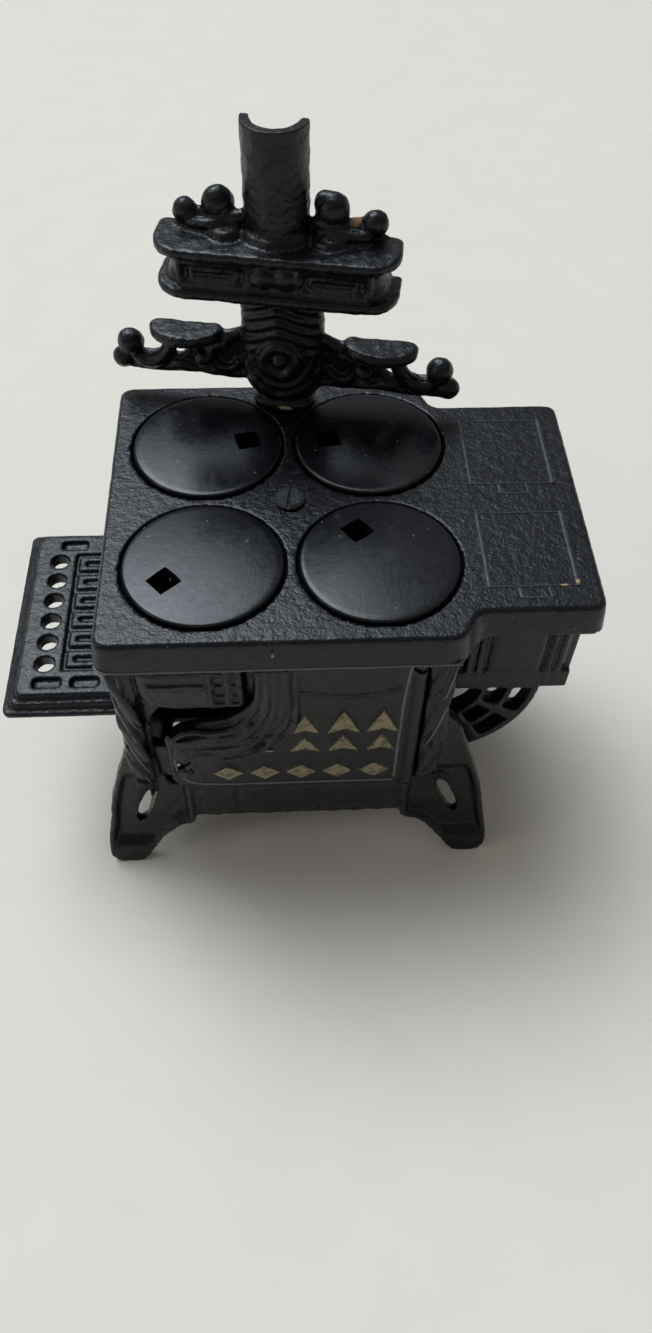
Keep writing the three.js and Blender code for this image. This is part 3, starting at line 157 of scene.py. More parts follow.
def normed(vectors):
    return vectors / np.linalg.norm(vectors, axis=1, keepdims=True)


def away_from(run):
    """Directions at right angles to a run along an outline, on its outer side."""
    return normed(np.column_stack([run[:, 1], -run[:, 0]]))


def tube(path, radii, sides=14, flat=1.0, towards=FORWARD):
    """A circle carried along a path: centre + radius * (cos a * across + flat * sin a * proud)."""
    radii = np.broadcast_to(np.asarray(radii, float), len(path))
    along = normed(np.gradient(path, axis=0))
    across = normed(np.cross(along, towards))
    proud = np.cross(across, along)
    a = np.linspace(0, 2 * np.pi, sides, endpoint=False)
    ring = np.cos(a)[None, :, None] * across[:, None] + flat * np.sin(a)[None, :, None] * proud[:, None]
    return closed_grid(path[:, None] + radii[:, None, None] * ring)


def smooth_path(points, count=28):
    """A path through the given points: a uniform Catmull-Rom curve, sampled evenly in its own parameter."""
    p = np.asarray(points, float)
    p = np.concatenate([2 * p[:1] - p[1:2], p, 2 * p[-1:] - p[-2:-1]])
    t = np.linspace(0, len(p) - 3 - TINY, count)
    i = t.astype(int)
    f = (t - i)[:, None]
    a, b, c, d = p[i], p[i + 1], p[i + 2], p[i + 3]
    return 0.5 * (2 * b + (c - a) * f + (2 * a - 5 * b + 4 * c - d) * f**2 + (3 * b - a - 3 * c + d) * f**3)


def upright(points, depth):
    """Points given across and up, set at one depth, or each at its own."""
    p = np.asarray(points, float)
    return np.column_stack([p[:, 0], np.broadcast_to(depth, len(p)), p[:, 1]])


def tapered(count, middle, ends=0.35):
    """Radii that swell from the ends to the middle: ends + (1 - ends) * sin ** 0.7."""
    return middle * (ends + (1 - ends) * np.sin(np.linspace(0, np.pi, count)) ** 0.7)


def ball(centre, radii, rows=14, cols=20):
    """An ellipsoid: centre + radii * (sin r cos c, sin r sin c, cos r), cut off just short of its poles."""
    pole = 0.02
    r = np.linspace(pole, np.pi - pole, rows)[:, None]
    c = np.linspace(0, 2 * np.pi, cols, endpoint=False)[None]
    unit = np.stack([np.sin(r) * np.cos(c), np.sin(r) * np.sin(c), np.cos(r) * np.ones_like(c)], -1)
    return closed_grid(np.asarray(centre, float) + unit * np.broadcast_to(np.asarray(radii, float), 3), turn=True)


def turned(profile, sides=48):
    """A profile of (radius, height) pairs turned round the upright axis."""
    radii, heights = np.asarray(profile, float).T[:, :, None]
    a = np.linspace(0, 2 * np.pi, sides, endpoint=False)
    return closed_grid(np.stack([radii * np.cos(a), radii * np.sin(a), heights * np.ones_like(a)], -1))


def rounded_plan(half, front, back, corner, steps=7, bow=0.0, back_corner=0.4):
    """An outline seen from above: a rectangle with quarter round corners, its front bowed by bow * sin ** 2."""
    run = 26
    pieces = []
    for x, y, r, start in (
        (-half, -front, corner, 180),
        (half, -front, corner, 270),
        (half, back, back_corner, 0),
        (-half, back, back_corner, 90),
    ):
        a = np.radians(start + np.linspace(0, 90, steps))
        middle = np.array([x - math.copysign(r, x), y + (r if y < 0 else -r)])
        pieces.append(middle + r * np.stack([np.cos(a), np.sin(a)], -1))
    front_run = np.linspace(pieces[0][-1], pieces[1][0], run)[1:-1]
    back_run = np.linspace(pieces[2][-1], pieces[3][0], run)[1:-1]
    plan = np.concatenate([pieces[0], front_run, pieces[1], pieces[2], back_run, pieces[3]])
    share = np.clip(1 - np.abs(plan[:, 0]) / (half - corner), 0, 1)
    plan[:, 1] -= bow * np.sin(share * np.pi / 2) ** 2 * (plan[:, 1] < TINY - front)
    return plan


def moulded(plan, profile):
    """An outline carried up a profile of (let out, height) pairs, along the outline's own outward directions."""
    plan = np.asarray(plan, float)
    out = away_from(np.roll(plan, -1, 0) - np.roll(plan, 1, 0))
    rows = [np.column_stack([plan + let_out * out, np.full(len(plan), height)]) for let_out, height in profile]
    return closed_grid(np.array(rows))


def rounded_profile(low, high, round_off):
    """The side of a slab with both edges rounded off."""
    a = np.linspace(0, np.pi / 2, 4)
    foot = [(-round_off * (1 - np.sin(t)), low + round_off * (1 - np.cos(t))) for t in a]
    head = [(-round_off * (1 - np.cos(t)), high - round_off * (1 - np.sin(t))) for t in a]
    return foot + head


def smoothstep(low, high, value):
    """From 0 at low to 1 at high, level at both ends: 3 s ** 2 - 2 s ** 3."""
    share = np.clip((value - low) / (high - low), 0, 1)
    return share * share * (3 - 2 * share)


def hump(x, middle, spread):
    """A bell: exp(-((x - middle) / spread) ** 2)."""
    return np.exp(-(((x - middle) / spread) ** 2))


# The unevenness is a mean of six waves: their directions, how tightly each is packed, and the step in phase
WAVES = np.array(
    [[1, 0.3, 0.2], [-0.4, 1, 0.5], [0.2, -0.6, 1], [0.8, 0.7, -0.5], [-0.9, 0.4, 0.8], [0.5, -1, -0.3]]
)
PACES = np.array([1, 0.83, 1.17, 0.71, 1.31, 0.93])
PHASE_STEP = 1.7


def wobble(points, size, seed=0.0):
    """A soft, fixed unevenness: the mean of sines, with waves about as long as size."""
    phase = points @ WAVES.T * (2 * np.pi / size) * PACES
    return np.sin(phase + seed + np.arange(len(PACES)) * PHASE_STEP).mean(1)


def turning(angle):
    """A turn about the upright axis."""
    c, s = math.cos(angle), math.sin(angle)
    return np.array([[c, -s, 0], [s, c, 0], [0, 0, 1]])


def moved(shell, by=SHIFT):
    """The shell moved: from the layout to its place in the frame, if nothing else is said."""
    points, faces = shell
    return points + by, faces


def into_stack(points):
    """From the stack's own frame, across, back and up from the plate, to the stove's."""
    return points @ turning(STACK_TURN).T + STACK_FOOT


# ---- meshes


def merged_mesh(name, nodes, shells):
    """One mesh of the copied CAD nodes and the new shells, with double points merged."""
    bm = bmesh.new()
    for node in nodes:
        bm.from_mesh(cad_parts[node].data)
    for points, faces in shells:
        part = bpy.data.meshes.new("part")
        part.from_pydata((points * MM).tolist(), [], faces.tolist())
        bm.from_mesh(part)
        bpy.data.meshes.remove(part)
    bmesh.ops.remove_doubles(bm, verts=bm.verts, dist=CREVICE)
    bmesh.ops.dissolve_degenerate(bm, edges=bm.edges, dist=CREVICE)
    mesh = bpy.data.meshes.new(name)
    bm.to_mesh(mesh)
    bm.free()
    return mesh


def new_object(name, mesh, body, material, *replaced):
    """A piece that rides on a body and takes the place of the named CAD nodes."""
    piece = bpy.data.objects.new(name, mesh)
    bpy.context.scene.collection.objects.link(piece)
    mesh.materials.clear()
    mesh.materials.append(material)
    mesh.shade_smooth()
    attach(piece, body)
    if replaced:
        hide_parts(*replaced)
    return piece


def vertices(mesh, key):
    """The vertices' positions, in metres, with the key co, or their directions, with the key normal."""
    flat = np.empty(len(mesh.vertices) * 3, np.float32)
    mesh.vertices.foreach_get(key, flat)
    return flat.reshape(-1, 3).astype(float)


def casting(name, body, node, shells=(), shape=None, voxel=None, softness=None, uneven=0.05, solid=True):
    """A sand casting in place of a CAD node: the node's solid and the shells run together on a fine voxel grid,
    their edges softened, then made uneven, given the piece's own shape and kept inside the node's box."""
    broad_wave, fine_wave, fine_seed = 5.5, 2.3, 2.0
    settings = bpy.context.scene.stove_casting
    material = finish(CAST)
    rough = new_object(name + "_rough", merged_mesh(name, [node] if solid else [], shells), body, material)
    remesh = rough.modifiers.new("run together", "REMESH")
    remesh.mode = "VOXEL"
    remesh.voxel_size = voxel * MM if voxel else settings.voxel
    relax = rough.modifiers.new("soften", "SMOOTH")
    relax.factor = 0.5
    relax.iterations = settings.softness if softness is None else softness
    mesh = bpy.data.meshes.new_from_object(rough.evaluated_get(bpy.context.evaluated_depsgraph_get()))
    mesh.name = name
    bpy.data.objects.remove(rough)
    points, normals = vertices(mesh, "co") / MM, vertices(mesh, "normal")
    waves = wobble(points, broad_wave) + 0.6 * wobble(points, fine_wave, fine_seed)
    points = points + normals * (uneven * waves)[:, None]
    if shape:
        points = shape(points, normals)
    low, high = np.array(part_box(node)) / MM
    points = np.clip(points, low, high)
    mesh.vertices.foreach_set("co", (points * MM).astype(np.float32).ravel())
    mesh.update()
    new_object(name, mesh, body, material, node)


def surface(name, body, coat, shells, *replaced):
    """A finished piece straight from its shells, with its sharp corners kept."""
    piece = new_object(name, merged_mesh(name, (), shells), body, finish(coat), *replaced)
    piece.data.set_sharp_from_angle(angle=SHARP)


# ---- materials


# What sets each paint apart: the depth of its grain in mm, how much its edges are rubbed, its dust and the
# rest of what painted_iron takes
PAINTS = {
    CAST: dict(depth=0.11, wear=0.6, dust=0.5),
    LID: dict(depth=0.013, wear=0.3, dust=1.0, rougher=-0.06, coarser=1.4, patchy=0.6),
    RUBBED: dict(depth=0.06, wear=0.9, dust=0.6, rougher=0.1, colour="#36383d"),
    # Light grey lines that stand for light caught along raised edges: painted highlight
    PAINTED_HIGHLIGHT: dict(depth=0.05, wear=0.5, dust=0.4, rougher=0.1, colour="#66676a"),
    PRIMER: dict(depth=0.05, wear=0.0, dust=0.3, roughness=0.7, colour="#a58a62"),
    RUST: dict(depth=0.08, wear=0.0, dust=0.3, roughness=0.8, colour="#755c40"),
    # Near white: the painted glint by the door knob
    PAINTED_GLINT: dict(depth=0.03, wear=0.0, dust=0.0, roughness=0.5, colour="#d8d6cf"),
}

# Sizes in mm of the paint's dark patches, rust spots, dull smears and broad ripples, and the dust's spacing
PATCH, SPOT, SMEAR, RIPPLE, DUST_APART = 9.0, 2.6, 1.6, 1.9, 3.4


def linear(code):
    """sRGB hex to linear: c / 12.92 under 0.04045, else ((c + 0.055) / 1.055) ** 2.4."""
    values = [int(code[i : i + 2], 16) / 255 for i in (1, 3, 5)]
    return [v / 12.92 if v <= 0.04045 else ((v + 0.055) / 1.055) ** 2.4 for v in values] + [1.0]


def feed(tree, node, inputs):
    """Sets or links a node's inputs."""
    for key, value in inputs.items():
        if isinstance(value, bpy.types.NodeSocket):
            tree.links.new(value, node.inputs[key])
        else:
            node.inputs[key].default_value = value


def add_node(tree, kind, inputs=None, **settings):
    """Adds a node, sets its settings, then feeds its inputs."""
    node = tree.nodes.new(kind)
    for key, value in settings.items():
        setattr(node, key, value)
    feed(tree, node, inputs or {})
    return node


def ramp(tree, value, stops):
    """A value led through stops of (place, grey)."""
    node = add_node(tree, "ShaderNodeValToRGB", {"Fac": value})
    elements = node.color_ramp.elements
    while len(elements) < len(stops):
        elements.new(0.5)
    for element, (place, grey) in zip(elements, stops):
        element.position = place
        element.color = (grey, grey, grey, 1)
    return node.outputs["Color"]


def fresh(name):
    """A new material with a bare shader, and the object coordinates that its marks are laid on."""
    material = bpy.data.materials.new(name)
    material.use_nodes = True
    tree = material.node_tree
    tree.nodes.clear()
    out = add_node(tree, "ShaderNodeOutputMaterial")
    shader = add_node(tree, "ShaderNodeBsdfPrincipled")
    tree.links.new(shader.outputs["BSDF"], out.inputs["Surface"])
    place = add_node(tree, "ShaderNodeTexCoord").outputs["Object"]
    return material, tree, shader, place


def noise(tree, place, size_mm, detail=3.0):
    """Noise whose waves are about size_mm long."""
    inputs = {"Vector": place, "Scale": 1 / (size_mm * MM), "Detail": detail, "Roughness": 0.55}
    return add_node(tree, "ShaderNodeTexNoise", inputs).outputs["Fac"]


def mixed(tree, share, a, b, **settings):
    """Colour a going over to colour b by the share."""
    return add_node(tree, "ShaderNodeMix", {"Factor": share, 6: a, 7: b}, data_type="RGBA", **settings).outputs[2]


def bumped(tree, height, depth_mm, strength=1.0, **under):
    """The surface's direction over a bump, laid on another bump where one is given."""
    inputs = {"Height": height, "Distance": depth_mm * MM, "Strength": strength, **under}
    return add_node(tree, "ShaderNodeBump", inputs).outputs["Normal"]


def painted_iron(name, depth, wear, dust, roughness=None, rougher=0.0, coarser=1.0, colour=None, patchy=1.0):
    """Black stove paint brushed on sand-cast iron: half gloss over a fine orange-peel grain of the sand,
    greyer where edges are rubbed, with brown rust spots and specks of dust."""
    settings = bpy.context.scene.stove_paint
    roughness = settings.gloss + rougher if roughness is None else roughness
    paint = linear(colour) if colour else (*settings.paint, 1.0)
    darker = (*(0.75 * c for c in paint[:3]), 1.0) if colour else linear("#101114")
    material, tree, shader, place = fresh(name)
    base = mixed(tree, ramp(tree, noise(tree, place, PATCH), [(0.35, 0.0), (0.7, 1.0)]), paint, darker)
    pointiness = add_node(tree, "ShaderNodeNewGeometry").outputs["Pointiness"]
    base = mixed(tree, ramp(tree, pointiness, [(0.52, 0.0), (0.62, wear)]), base, linear("#3d3e42"))
    spots = ramp(tree, noise(tree, place, SPOT, 4.0), [(0.66, 0.0), (0.74, 0.6)])
    base = mixed(tree, spots, base, linear("#241a14"))
    cells = {"Vector": place, "Scale": 1 / (DUST_APART * MM)}
    specks = add_node(tree, "ShaderNodeTexVoronoi", cells, feature="F1").outputs["Distance"]
    base = mixed(tree, ramp(tree, specks, [(0.03, dust), (0.055, 0.0)]), base, linear("#8a8680"))
    smears = {
        "Value": noise(tree, place, SMEAR, 4.0),
        "From Min": 0.3,
        "From Max": 0.7,
        "To Min": roughness - 0.07 * patchy,
        "To Max": roughness + 0.09 * patchy,
    }
    fine = bumped(tree, noise(tree, place, settings.grain / MM * coarser, 2.0), depth)
    inputs = {
        "Base Color": base,
        "Roughness": add_node(tree, "ShaderNodeMapRange", smears).outputs["Result"],
        "Normal": bumped(tree, noise(tree, place, RIPPLE), 2.4 * depth, 0.8, Normal=fine),
        "IOR": 1.38,
    }
    feed(tree, shader, inputs)
    return material


def patchy_metal(name, metal, film, patch, stops, grain, depth, **rest):
    """A metallic colour with patches of film on it, and a fine grain."""
    material, tree, shader, place = fresh(name)
    base = mixed(tree, ramp(tree, noise(tree, place, patch, 4.0), stops), metal, linear(film))
    feed(tree, shader, {"Base Color": base, "Normal": bumped(tree, noise(tree, place, grain), depth), **rest})
    return material


def gold_paint():
    """Gold bronze paint dabbed on raised casting: dull, a little metallic, thin where it is rubbed."""
    gold, thin = (*bpy.context.scene.stove_paint.gold, 1.0), [(0.36, 0.75), (0.52, 0.0)]
    return patchy_metal(GOLD, gold, "#3a342a", 1.1, thin, 0.5, 0.04, Metallic=0.35, Roughness=0.5)


def worn_steel():
    """Mild steel gone dark, brighter where it is rubbed: grey metal with a brown film."""
    steel, stops = linear("#3b3c40"), [(0.4, 0.0), (0.62, 1.0)]
    return patchy_metal(STEEL, steel, "#231d19", 1.4, stops, 0.4, 0.03, Metallic=0.8, Roughness=0.42)


def finish(name):
    """The finish of that name, made once."""
    if name in bpy.data.materials:
        return bpy.data.materials[name]
    if name == GOLD:
        return gold_paint()
    return worn_steel() if name == STEEL else painted_iron(name, **PAINTS[name])


# ---- the plate and its lids

# Each lid's place in words, its side across and back, and the bearing of its hole in degrees
LIDS = (("front_left", -1, -1, 212), ("front_right", 1, -1, 118), ("back_left", -1, 1, 4), ("back_right", 1, 1, 175))
LID_SPACING = np.array([33.7, 33.5])
LID_RADIUS, LID_THICK, LID_DOME, LID_EDGE = 15.4, 1.8, 0.5, 0.5

# The lifter hole: half its side, how far its top edge is worn back, its middle and its turn
HOLE_HALF, HOLE_WEAR = 2.3, 0.1
HOLE_MIDDLE = np.array([8.5, 0.0])
HOLE_TURN = math.radians(9)


def lid_shell(middle, bearing, low):
    """A lid: a grid from the square lifter hole out to the rim. Each ray runs from the hole's edge to the
    round rim, and the rows go round the section: up the hole's wall, over the dome, round the rim and back
    along the flat underside."""
    count = 24
    share, one = np.linspace(-1, 1, count + 1)[:-1], np.ones(count)
    sides = ((share, -one), (one, share), (-share, one), (-one, -share))
    square = np.concatenate([np.column_stack(side) for side in sides]) @ turning(HOLE_TURN)[:2, :2].T
    ray = normed(square)
    b = ray @ HOLE_MIDDLE
    reach = -b + np.sqrt(b * b - HOLE_MIDDLE @ HOLE_MIDDLE + LID_RADIUS**2)
    rim = HOLE_MIDDLE + ray * reach[:, None]

    def row(from_hole, let_in, height, wear=0.0):
        hole = HOLE_MIDDLE + (HOLE_HALF + wear) * square
        flat = hole * (1 - from_hole) + rim * (1 - let_in / LID_RADIUS) * from_hole
        from_middle = np.linalg.norm(flat, axis=1)
        crown = LID_DOME * (1 - (from_middle / LID_RADIUS) ** 2) * (height >= LID_THICK)
        return np.column_stack([flat, height + crown])

    turn = np.linspace(0.3, math.pi / 2, 4)
    bends = [(LID_EDGE * (1 - math.sin(a)), LID_EDGE * (1 - math.cos(a))) for a in turn]
    rows = [row(0, 0, 0), row(0, 0, LID_THICK * 0.7), row(0, 0, LID_THICK - 0.15, HOLE_WEAR)]
    rows += [row(t, LID_EDGE, LID_THICK) for t in np.linspace(0.015, 1, 16)]
    rows += [row(1, let_in, LID_THICK - down) for let_in, down in bends]
    rows += [row(1, let_in, up) for up, let_in in bends]
    rows += [row(t, LID_EDGE, 0) for t in np.linspace(1, 0, 8)[1:-1]]
    points = np.array(rows) @ turning(math.radians(bearing)).T + [*middle, low]
    return points.reshape(-1, 3), grid_faces(*points.shape[:2], close_rows=True, close_cols=True)


def level_plate(points, normals):
    """The plate's face is brought to one height, so that only the separate flap lines stand above it."""
    levelled = points.copy()
    levelled[:, 2] = np.where(points[:, 2] > PLATE_TOP, PLATE_TOP + 0.02 * wobble(points, 6.0), points[:, 2])
    return levelled


def flap_lines():
    """Worn raised lines round the wing's two flaps and their tabs, thick along the sides and thin across."""
    shells = []

    def line(x0, y0, x1, y1, wide, high):
        path = np.linspace((x0, y0, 0), (x1, y1, 0), 40)
        path[:, :2] += 0.05 * wobble(path + 3, 4.0)[:, None]
        path[:, 2] = PLATE_TOP - 0.02
        swell = wide * (1 + 0.18 * wobble(path, 2.4))
        shells.append(moved(tube(path, swell, 12, high / wide, UPWARD)))

    for back in (23.0, -4.6):
        front = back - 19.6
        for x in (36.9, 53.7):
            line(x, back, x, front, 0.5, 0.27)
        line(36.8, back - 0.2, 53.6, back - 0.2, 0.2, 0.2)
        line(37.0, front + 0.2, 53.6, front + 0.2, 0.2, 0.2)
        for x, wide in ((42.5, 0.45), (48.1, 0.25)):
            line(x, front - 0.2, x + 0.2, front - 2.6, wide, 0.24)
        line(42.6, front - 2.7, 48.3, front - 2.7, 0.22, 0.2)
    return shells


def apron_bead_highlight():
    """A thin bead along the foot of the apron, round its two front corners, coloured light grey as a painted highlight
    along its lit edge.
    """
    corners = [(-36.95, -33.4), (-36.7, -35.4), (-35.2, -36.6), (-32.0, -36.75), (-2.0, -36.75), (28.0, -36.75)]
    corners += [(30.6, -36.45), (31.8, -34.8), (32.0, -32.0)]
    path = smooth_path(np.column_stack([corners, np.full(len(corners), 73.15)]), 110)
    path += 0.04 * wobble(path, 6.0)[:, None]
    return moved(tube(path, 0.28 * (1 + 0.25 * wobble(path, 4.0)), 10, 1.0, UPWARD))


def paint_chips():
    """Chips down to the primer: two on the wing's flap lines and one on the apron."""
    along_side = np.linspace((53.74, -23.9, PLATE_TOP + 0.02), (53.74, -22.6, PLATE_TOP + 0.02), 8)
    along_end = np.linspace((50.2, -24.0, PLATE_TOP), (52.0, -24.0, PLATE_TOP), 10)
    chips = (
        tube(along_side, tapered(8, 0.5, 0.5), 12, 0.6, UPWARD),
        tube(along_end, tapered(10, 0.27, 0.5), 12, 0.9, UPWARD),
        ball((-3.9, -36.95, 77.4), (0.3, 0.2, 0.45), 8, 12),
    )
    return [moved(chip) for chip in chips]


# ---- the stack

# The column's height and half width, and shares of them on its way up
COLUMN_TALL, COLUMN_HALF = 30, 8.7
COLUMN_UP = [0, 0.05, 0.075, 0.1, 0.17, 0.27, 0.4, 1]
COLUMN_WIDE = [0.66, 0.72, 0.66, 0.8, 0.93, 0.98, 1, 0.97]
BOSS_UP = 13.4

# One arm, given across and up: the web's outline, then the paths of its round bars
ARM_WEB = [(8, 5.6), (20, 5.4), (31, 5.0), (33.6, 6.2), (33.4, 9.0), (30, 8.5), (26, 8.2)]
ARM_WEB += [(22.2, 8.7), (20.7, 10.2), (20.3, 12.2), (20.8, 14.2), (13, 15.2), (8, 15.4)]
ARM_SCROLL = [(33.2, 10.2), (31.2, 7.4), (28.2, 7.0), (25.4, 9.2), (23.4, 12.8), (20.5, 14.6), (16, 15.0)]
ARM_BAR = [(35, 5.9), (28, 5.4), (20, 5.9), (13, 5.6), (7.5, 5.6)]
ARM_BRACE = [(8.4, 15), (11, 14.6), (14, 13.2), (16.6, 11.6)]
ARM_SHOULDER = [(7.8, 16.9), (10.0, 15.6), (12.8, 14.9), (15.5, 15.0)]

# Heights of the warming closet: its floor slab, its top slab, and the middle of its drawer fronts
CLOSET_FLOOR, CLOSET_TOP, DRAWER_UP = (29.0, 31.0), (37.0, 39.0), 34.0

# The closet wall's section: heights, and how far the wall's face is let out at each
WALL_HEIGHTS = np.array([30.0, 31.5, 33.0, 35.0, 36.4, 38.0])
WALL_LETS = np.array([1.5, 1.3, 0.7, 0.6, 1.2, 1.5])

# The gallery's balls: across, height over the closet's top, radius
GALLERY_BALLS = ((-17.9, 2.5, 2.5), (-11.5, 4.7, 3.1), (9.9, 5.1, 3.3), (17.9, 3.2, 2.5))


def stack_column():
    """The column: a half ellipse carried up, swelled by chevron ridges, rings round the boss and a foot roll."""
    half, deep, flat = COLUMN_HALF, 5.6, np.zeros(22)
    ridge_pitch, ring_pitch = 2.5, 2.3
    front = np.linspace(np.pi, 2 * np.pi, 110)
    arc = np.column_stack([half * np.cos(front), deep * np.sin(front)])
    rear = np.column_stack([np.linspace(half, -half, len(flat) + 2)[1:-1], flat + 1.3])
    plan = np.concatenate([arc, rear])
    heights = np.linspace(0.3, 29.6, 150)[:, None]
    width = np.interp(heights / COLUMN_TALL, COLUMN_UP, COLUMN_WIDE)
    x, z = plan[:, 0] * width, heights + np.zeros(len(plan))
    y = np.where(plan[:, 1] < 0, plan[:, 1] * width, plan[:, 1])
    from_boss = np.hypot(x, z - BOSS_UP)
    chevron = np.cos(2 * np.pi * (z + 0.5 * np.sqrt(x * x + 0.6)) / ridge_pitch)
    ridges = 0.42 * np.sign(chevron) * np.abs(chevron) ** 0.7
    ridges *= smoothstep(5.4, 6.6, from_boss) * smoothstep(12, 15.5, z)
    rings = 0.4 * np.cos(2 * np.pi * (from_boss - 6.5) / ring_pitch)
    rings *= smoothstep(12.5, 9, from_boss) * smoothstep(4.6, 5.6, from_boss) * smoothstep(15, 12, z)
    foot = 0.25 * np.cos(2 * np.pi * (from_boss - 0.25 * np.abs(x)) / ring_pitch)
    foot *= smoothstep(7, 4.5, z) * smoothstep(2, 3.5, z)
    lift = (ridges + rings + foot) * np.concatenate([np.abs(np.sin(front)), flat])
    out = np.column_stack([plan[:, 0] / half**2, np.minimum(plan[:, 1], 0) / deep**2])
    out /= np.linalg.norm(out, axis=1, keepdims=True) + TINY
    return closed_grid(np.stack([x + lift * out[:, 0], y + lift * out[:, 1], z], -1))


def trivet(side):
    """The half round trivet on an arm: a D seen from above, its tips rounded."""
    half, back, deep, tip = 7.8, 1.5, 7.4, 1.9
    turn, arc = np.linspace(0, np.pi / 2, 6), np.linspace(np.pi, 2 * np.pi, 17)[1:-1]
    left = np.column_stack([tip - half - tip * np.sin(turn), back - tip + tip * np.cos(turn)])
    front = np.column_stack([half * np.cos(arc), back - tip + (deep - tip) * np.sin(arc)])
    right = np.column_stack([half - tip + tip * np.cos(turn), back - tip + tip * np.sin(turn)])
    plan = np.concatenate([left, front, right]) + [side * 20.4, 0]
    return moulded(plan, rounded_profile(14.0, 16.6, 0.9))


def stack_arm(side):
    """One arm: a thin web, a long S scroll to the end balls, a small C scroll by the column, a bar below,
    the half round trivet and a shoulder from the column."""

    def bar(points, radius, ends, depth=-0.4):
        path = smooth_path(upright(points * np.array([side, 1]), depth))
        return tube(path, tapered(len(path), radius, ends))

    plan = ARM_WEB * np.array([side, 1])
    points, faces = moulded(plan[::side], [(-0.2, -0.3), (0, 0.1), (0, 1.3)])
    a = np.radians(np.linspace(100, -170, 30))
    curl = upright(np.column_stack([side * (12.4 + 3.0 * np.cos(a)), 9.9 + 3.1 * np.sin(a)]), -0.7)
    return [
        (points[:, [0, 2, 1]], faces[:, ::-1]),
        bar(ARM_SCROLL, 1.75, 0.6),
        bar(ARM_BAR, 0.95, 1.0),
        tube(curl, np.linspace(1.35, 0.8, len(curl))),
        bar(ARM_BRACE, 1.1, 0.6, -0.6),
        ball((side * 17.2, -1.0, 9.3), 2.0),
        ball((side * 22.3, -0.4, 6.4), (2.8, 1.2, 1.3)),
        ball((side * 32.9, -0.2, 11.0), (2.9, 2.7, 2.9)),
        ball((side * 35.0, -0.2, 7.0), (2.45, 2.2, 2.4)),
        trivet(side),
        bar(ARM_SHOULDER, 1.15, 0.8),
    ]


def closet_wall():
    """The closet's front and ends: one wall carried round the front of a plan, open at the back."""
    half, back, steps, run, count = 20.2, 1.0, 9, 24, 160
    plan = rounded_plan(half, 7.8, back, 4.5, steps=steps)
    ends = np.array([[-half, back], [-half, -1.2]])
    front = np.concatenate([ends, plan[: 2 * steps + run], ends[::-1] * [-1, 1]])
    reach = np.r_[0, np.cumsum(np.linalg.norm(np.diff(front, axis=0), axis=1))]
    even = np.linspace(0, reach[-1], count)
    front = np.column_stack([np.interp(even, reach, front[:, 0]), np.interp(even, reach, front[:, 1])])
    inside = np.column_stack([np.full(len(WALL_HEIGHTS), -0.9), WALL_HEIGHTS[::-1]])
    section = np.concatenate([np.column_stack([WALL_LETS, WALL_HEIGHTS]), inside])
    points = front[:, None] + section[None, :, :1] * away_from(np.gradient(front, axis=0))[:, None]
    heights = np.broadcast_to(section[None, :, 1:], (count, len(section), 1))
    return closed_grid(np.concatenate([points, heights], -1))


def drawer_fronts():
    """Two sunk drawer fronts, each an outer and an inner frame, and a clasp like a bow between them."""
    face, apart = -8.7, 11.4
    shells = []

    def line(x0, z0, x1, z1, radius):
        shells.append(tube(np.linspace((x0, face, z0), (x1, face, z1), 12), radius, 8))

    for side in (-1, 1):
        x = side * apart
        for half, high, radius in ((6.6, 2.2, 0.78), (4.3, 0.85, 0.55)):
            for z in (DRAWER_UP - high, DRAWER_UP + high):
                line(x - half, z, x + half, z, radius)
            for edge in (x - half, x + half):
                line(edge, DRAWER_UP - high, edge, DRAWER_UP + high, radius)
        shells.append(ball((side * 2.1, face, DRAWER_UP), (2.3, 1.2, 2.1)))
    shells.append(ball((0, face, DRAWER_UP), (1.0, 1.1, 1.1)))
    return shells


def gallery():
    """Balls and buds along the back of the closet top, joined by a low wavy wall, with leaves in front."""
    half, top = 20.4, CLOSET_TOP[1]
    x = np.linspace(-half, half, 70)
    away = np.abs(x)
    height = 1.7 + hump(away, 12, 3.4) + 2.2 * hump(x, 0, 7.5) - 0.9 * hump(away, half, 1.6)
    wall, faces = tube(upright(np.column_stack([x, 38.2 + height * 0.5]), 0.1), 0.5 + height * 0.55, 14, 1.25 / 1.6)
    wall[:, 1] = np.clip(wall[:, 1], -1.1, 1.3)
    shells = [(wall, faces)]
    for across, up, radius in GALLERY_BALLS:
        shells.append(ball((across, -0.6, top + up), (radius, radius * 0.9, radius)))
        if abs(across) < 15:
            bud = (across - math.copysign(0.9, across) - 0.6, -0.4, top + 1 + up)
            shells.append(ball(bud, (0.62 * radius, 0.6 * radius, 0.7 * radius)))
    for x0, x1 in ((-17.9, -12), (10.5, 17.5)):
        shells.append(tube(smooth_path([(x0, -0.5, 41.2), ((x0 + x1) / 2, -0.5, 41.4), (x1, -0.5, 42.4)], 12), 1.2))
    for side in (-1, 1):
        mirror = np.array([side, 1, 1])
        scroll = smooth_path(mirror * [(6, -1.4, 42.4), (9, -1.9, 41.8), (12, -1.2, 42.8)], 14)
        leaf = smooth_path(mirror * [(6.6, -3.2, 39.3), (10, -4.2, 39.5), (13.4, -3.1, 39.1)], 18)
        stem = smooth_path(mirror * [(9, -2.6, 41.4), (13, -3.0, 40.6), (17.4, -2.4, 40.0)], 14)
        shells += [
            tube(scroll, tapered(len(scroll), 1.5)),
            tube(leaf, tapered(len(leaf), 1.7, 0.3), 14, 0.65, UPWARD),
            ball((side * 15, -1.6, 39.2), (2.2, 1.4, 0.9)),
            ball((side * 9.4, -2.8, 39.8), (2.9, 1.7, 1.2)),
            tube(stem, tapered(len(stem), 1.15, 0.5)),
        ]
    return shells


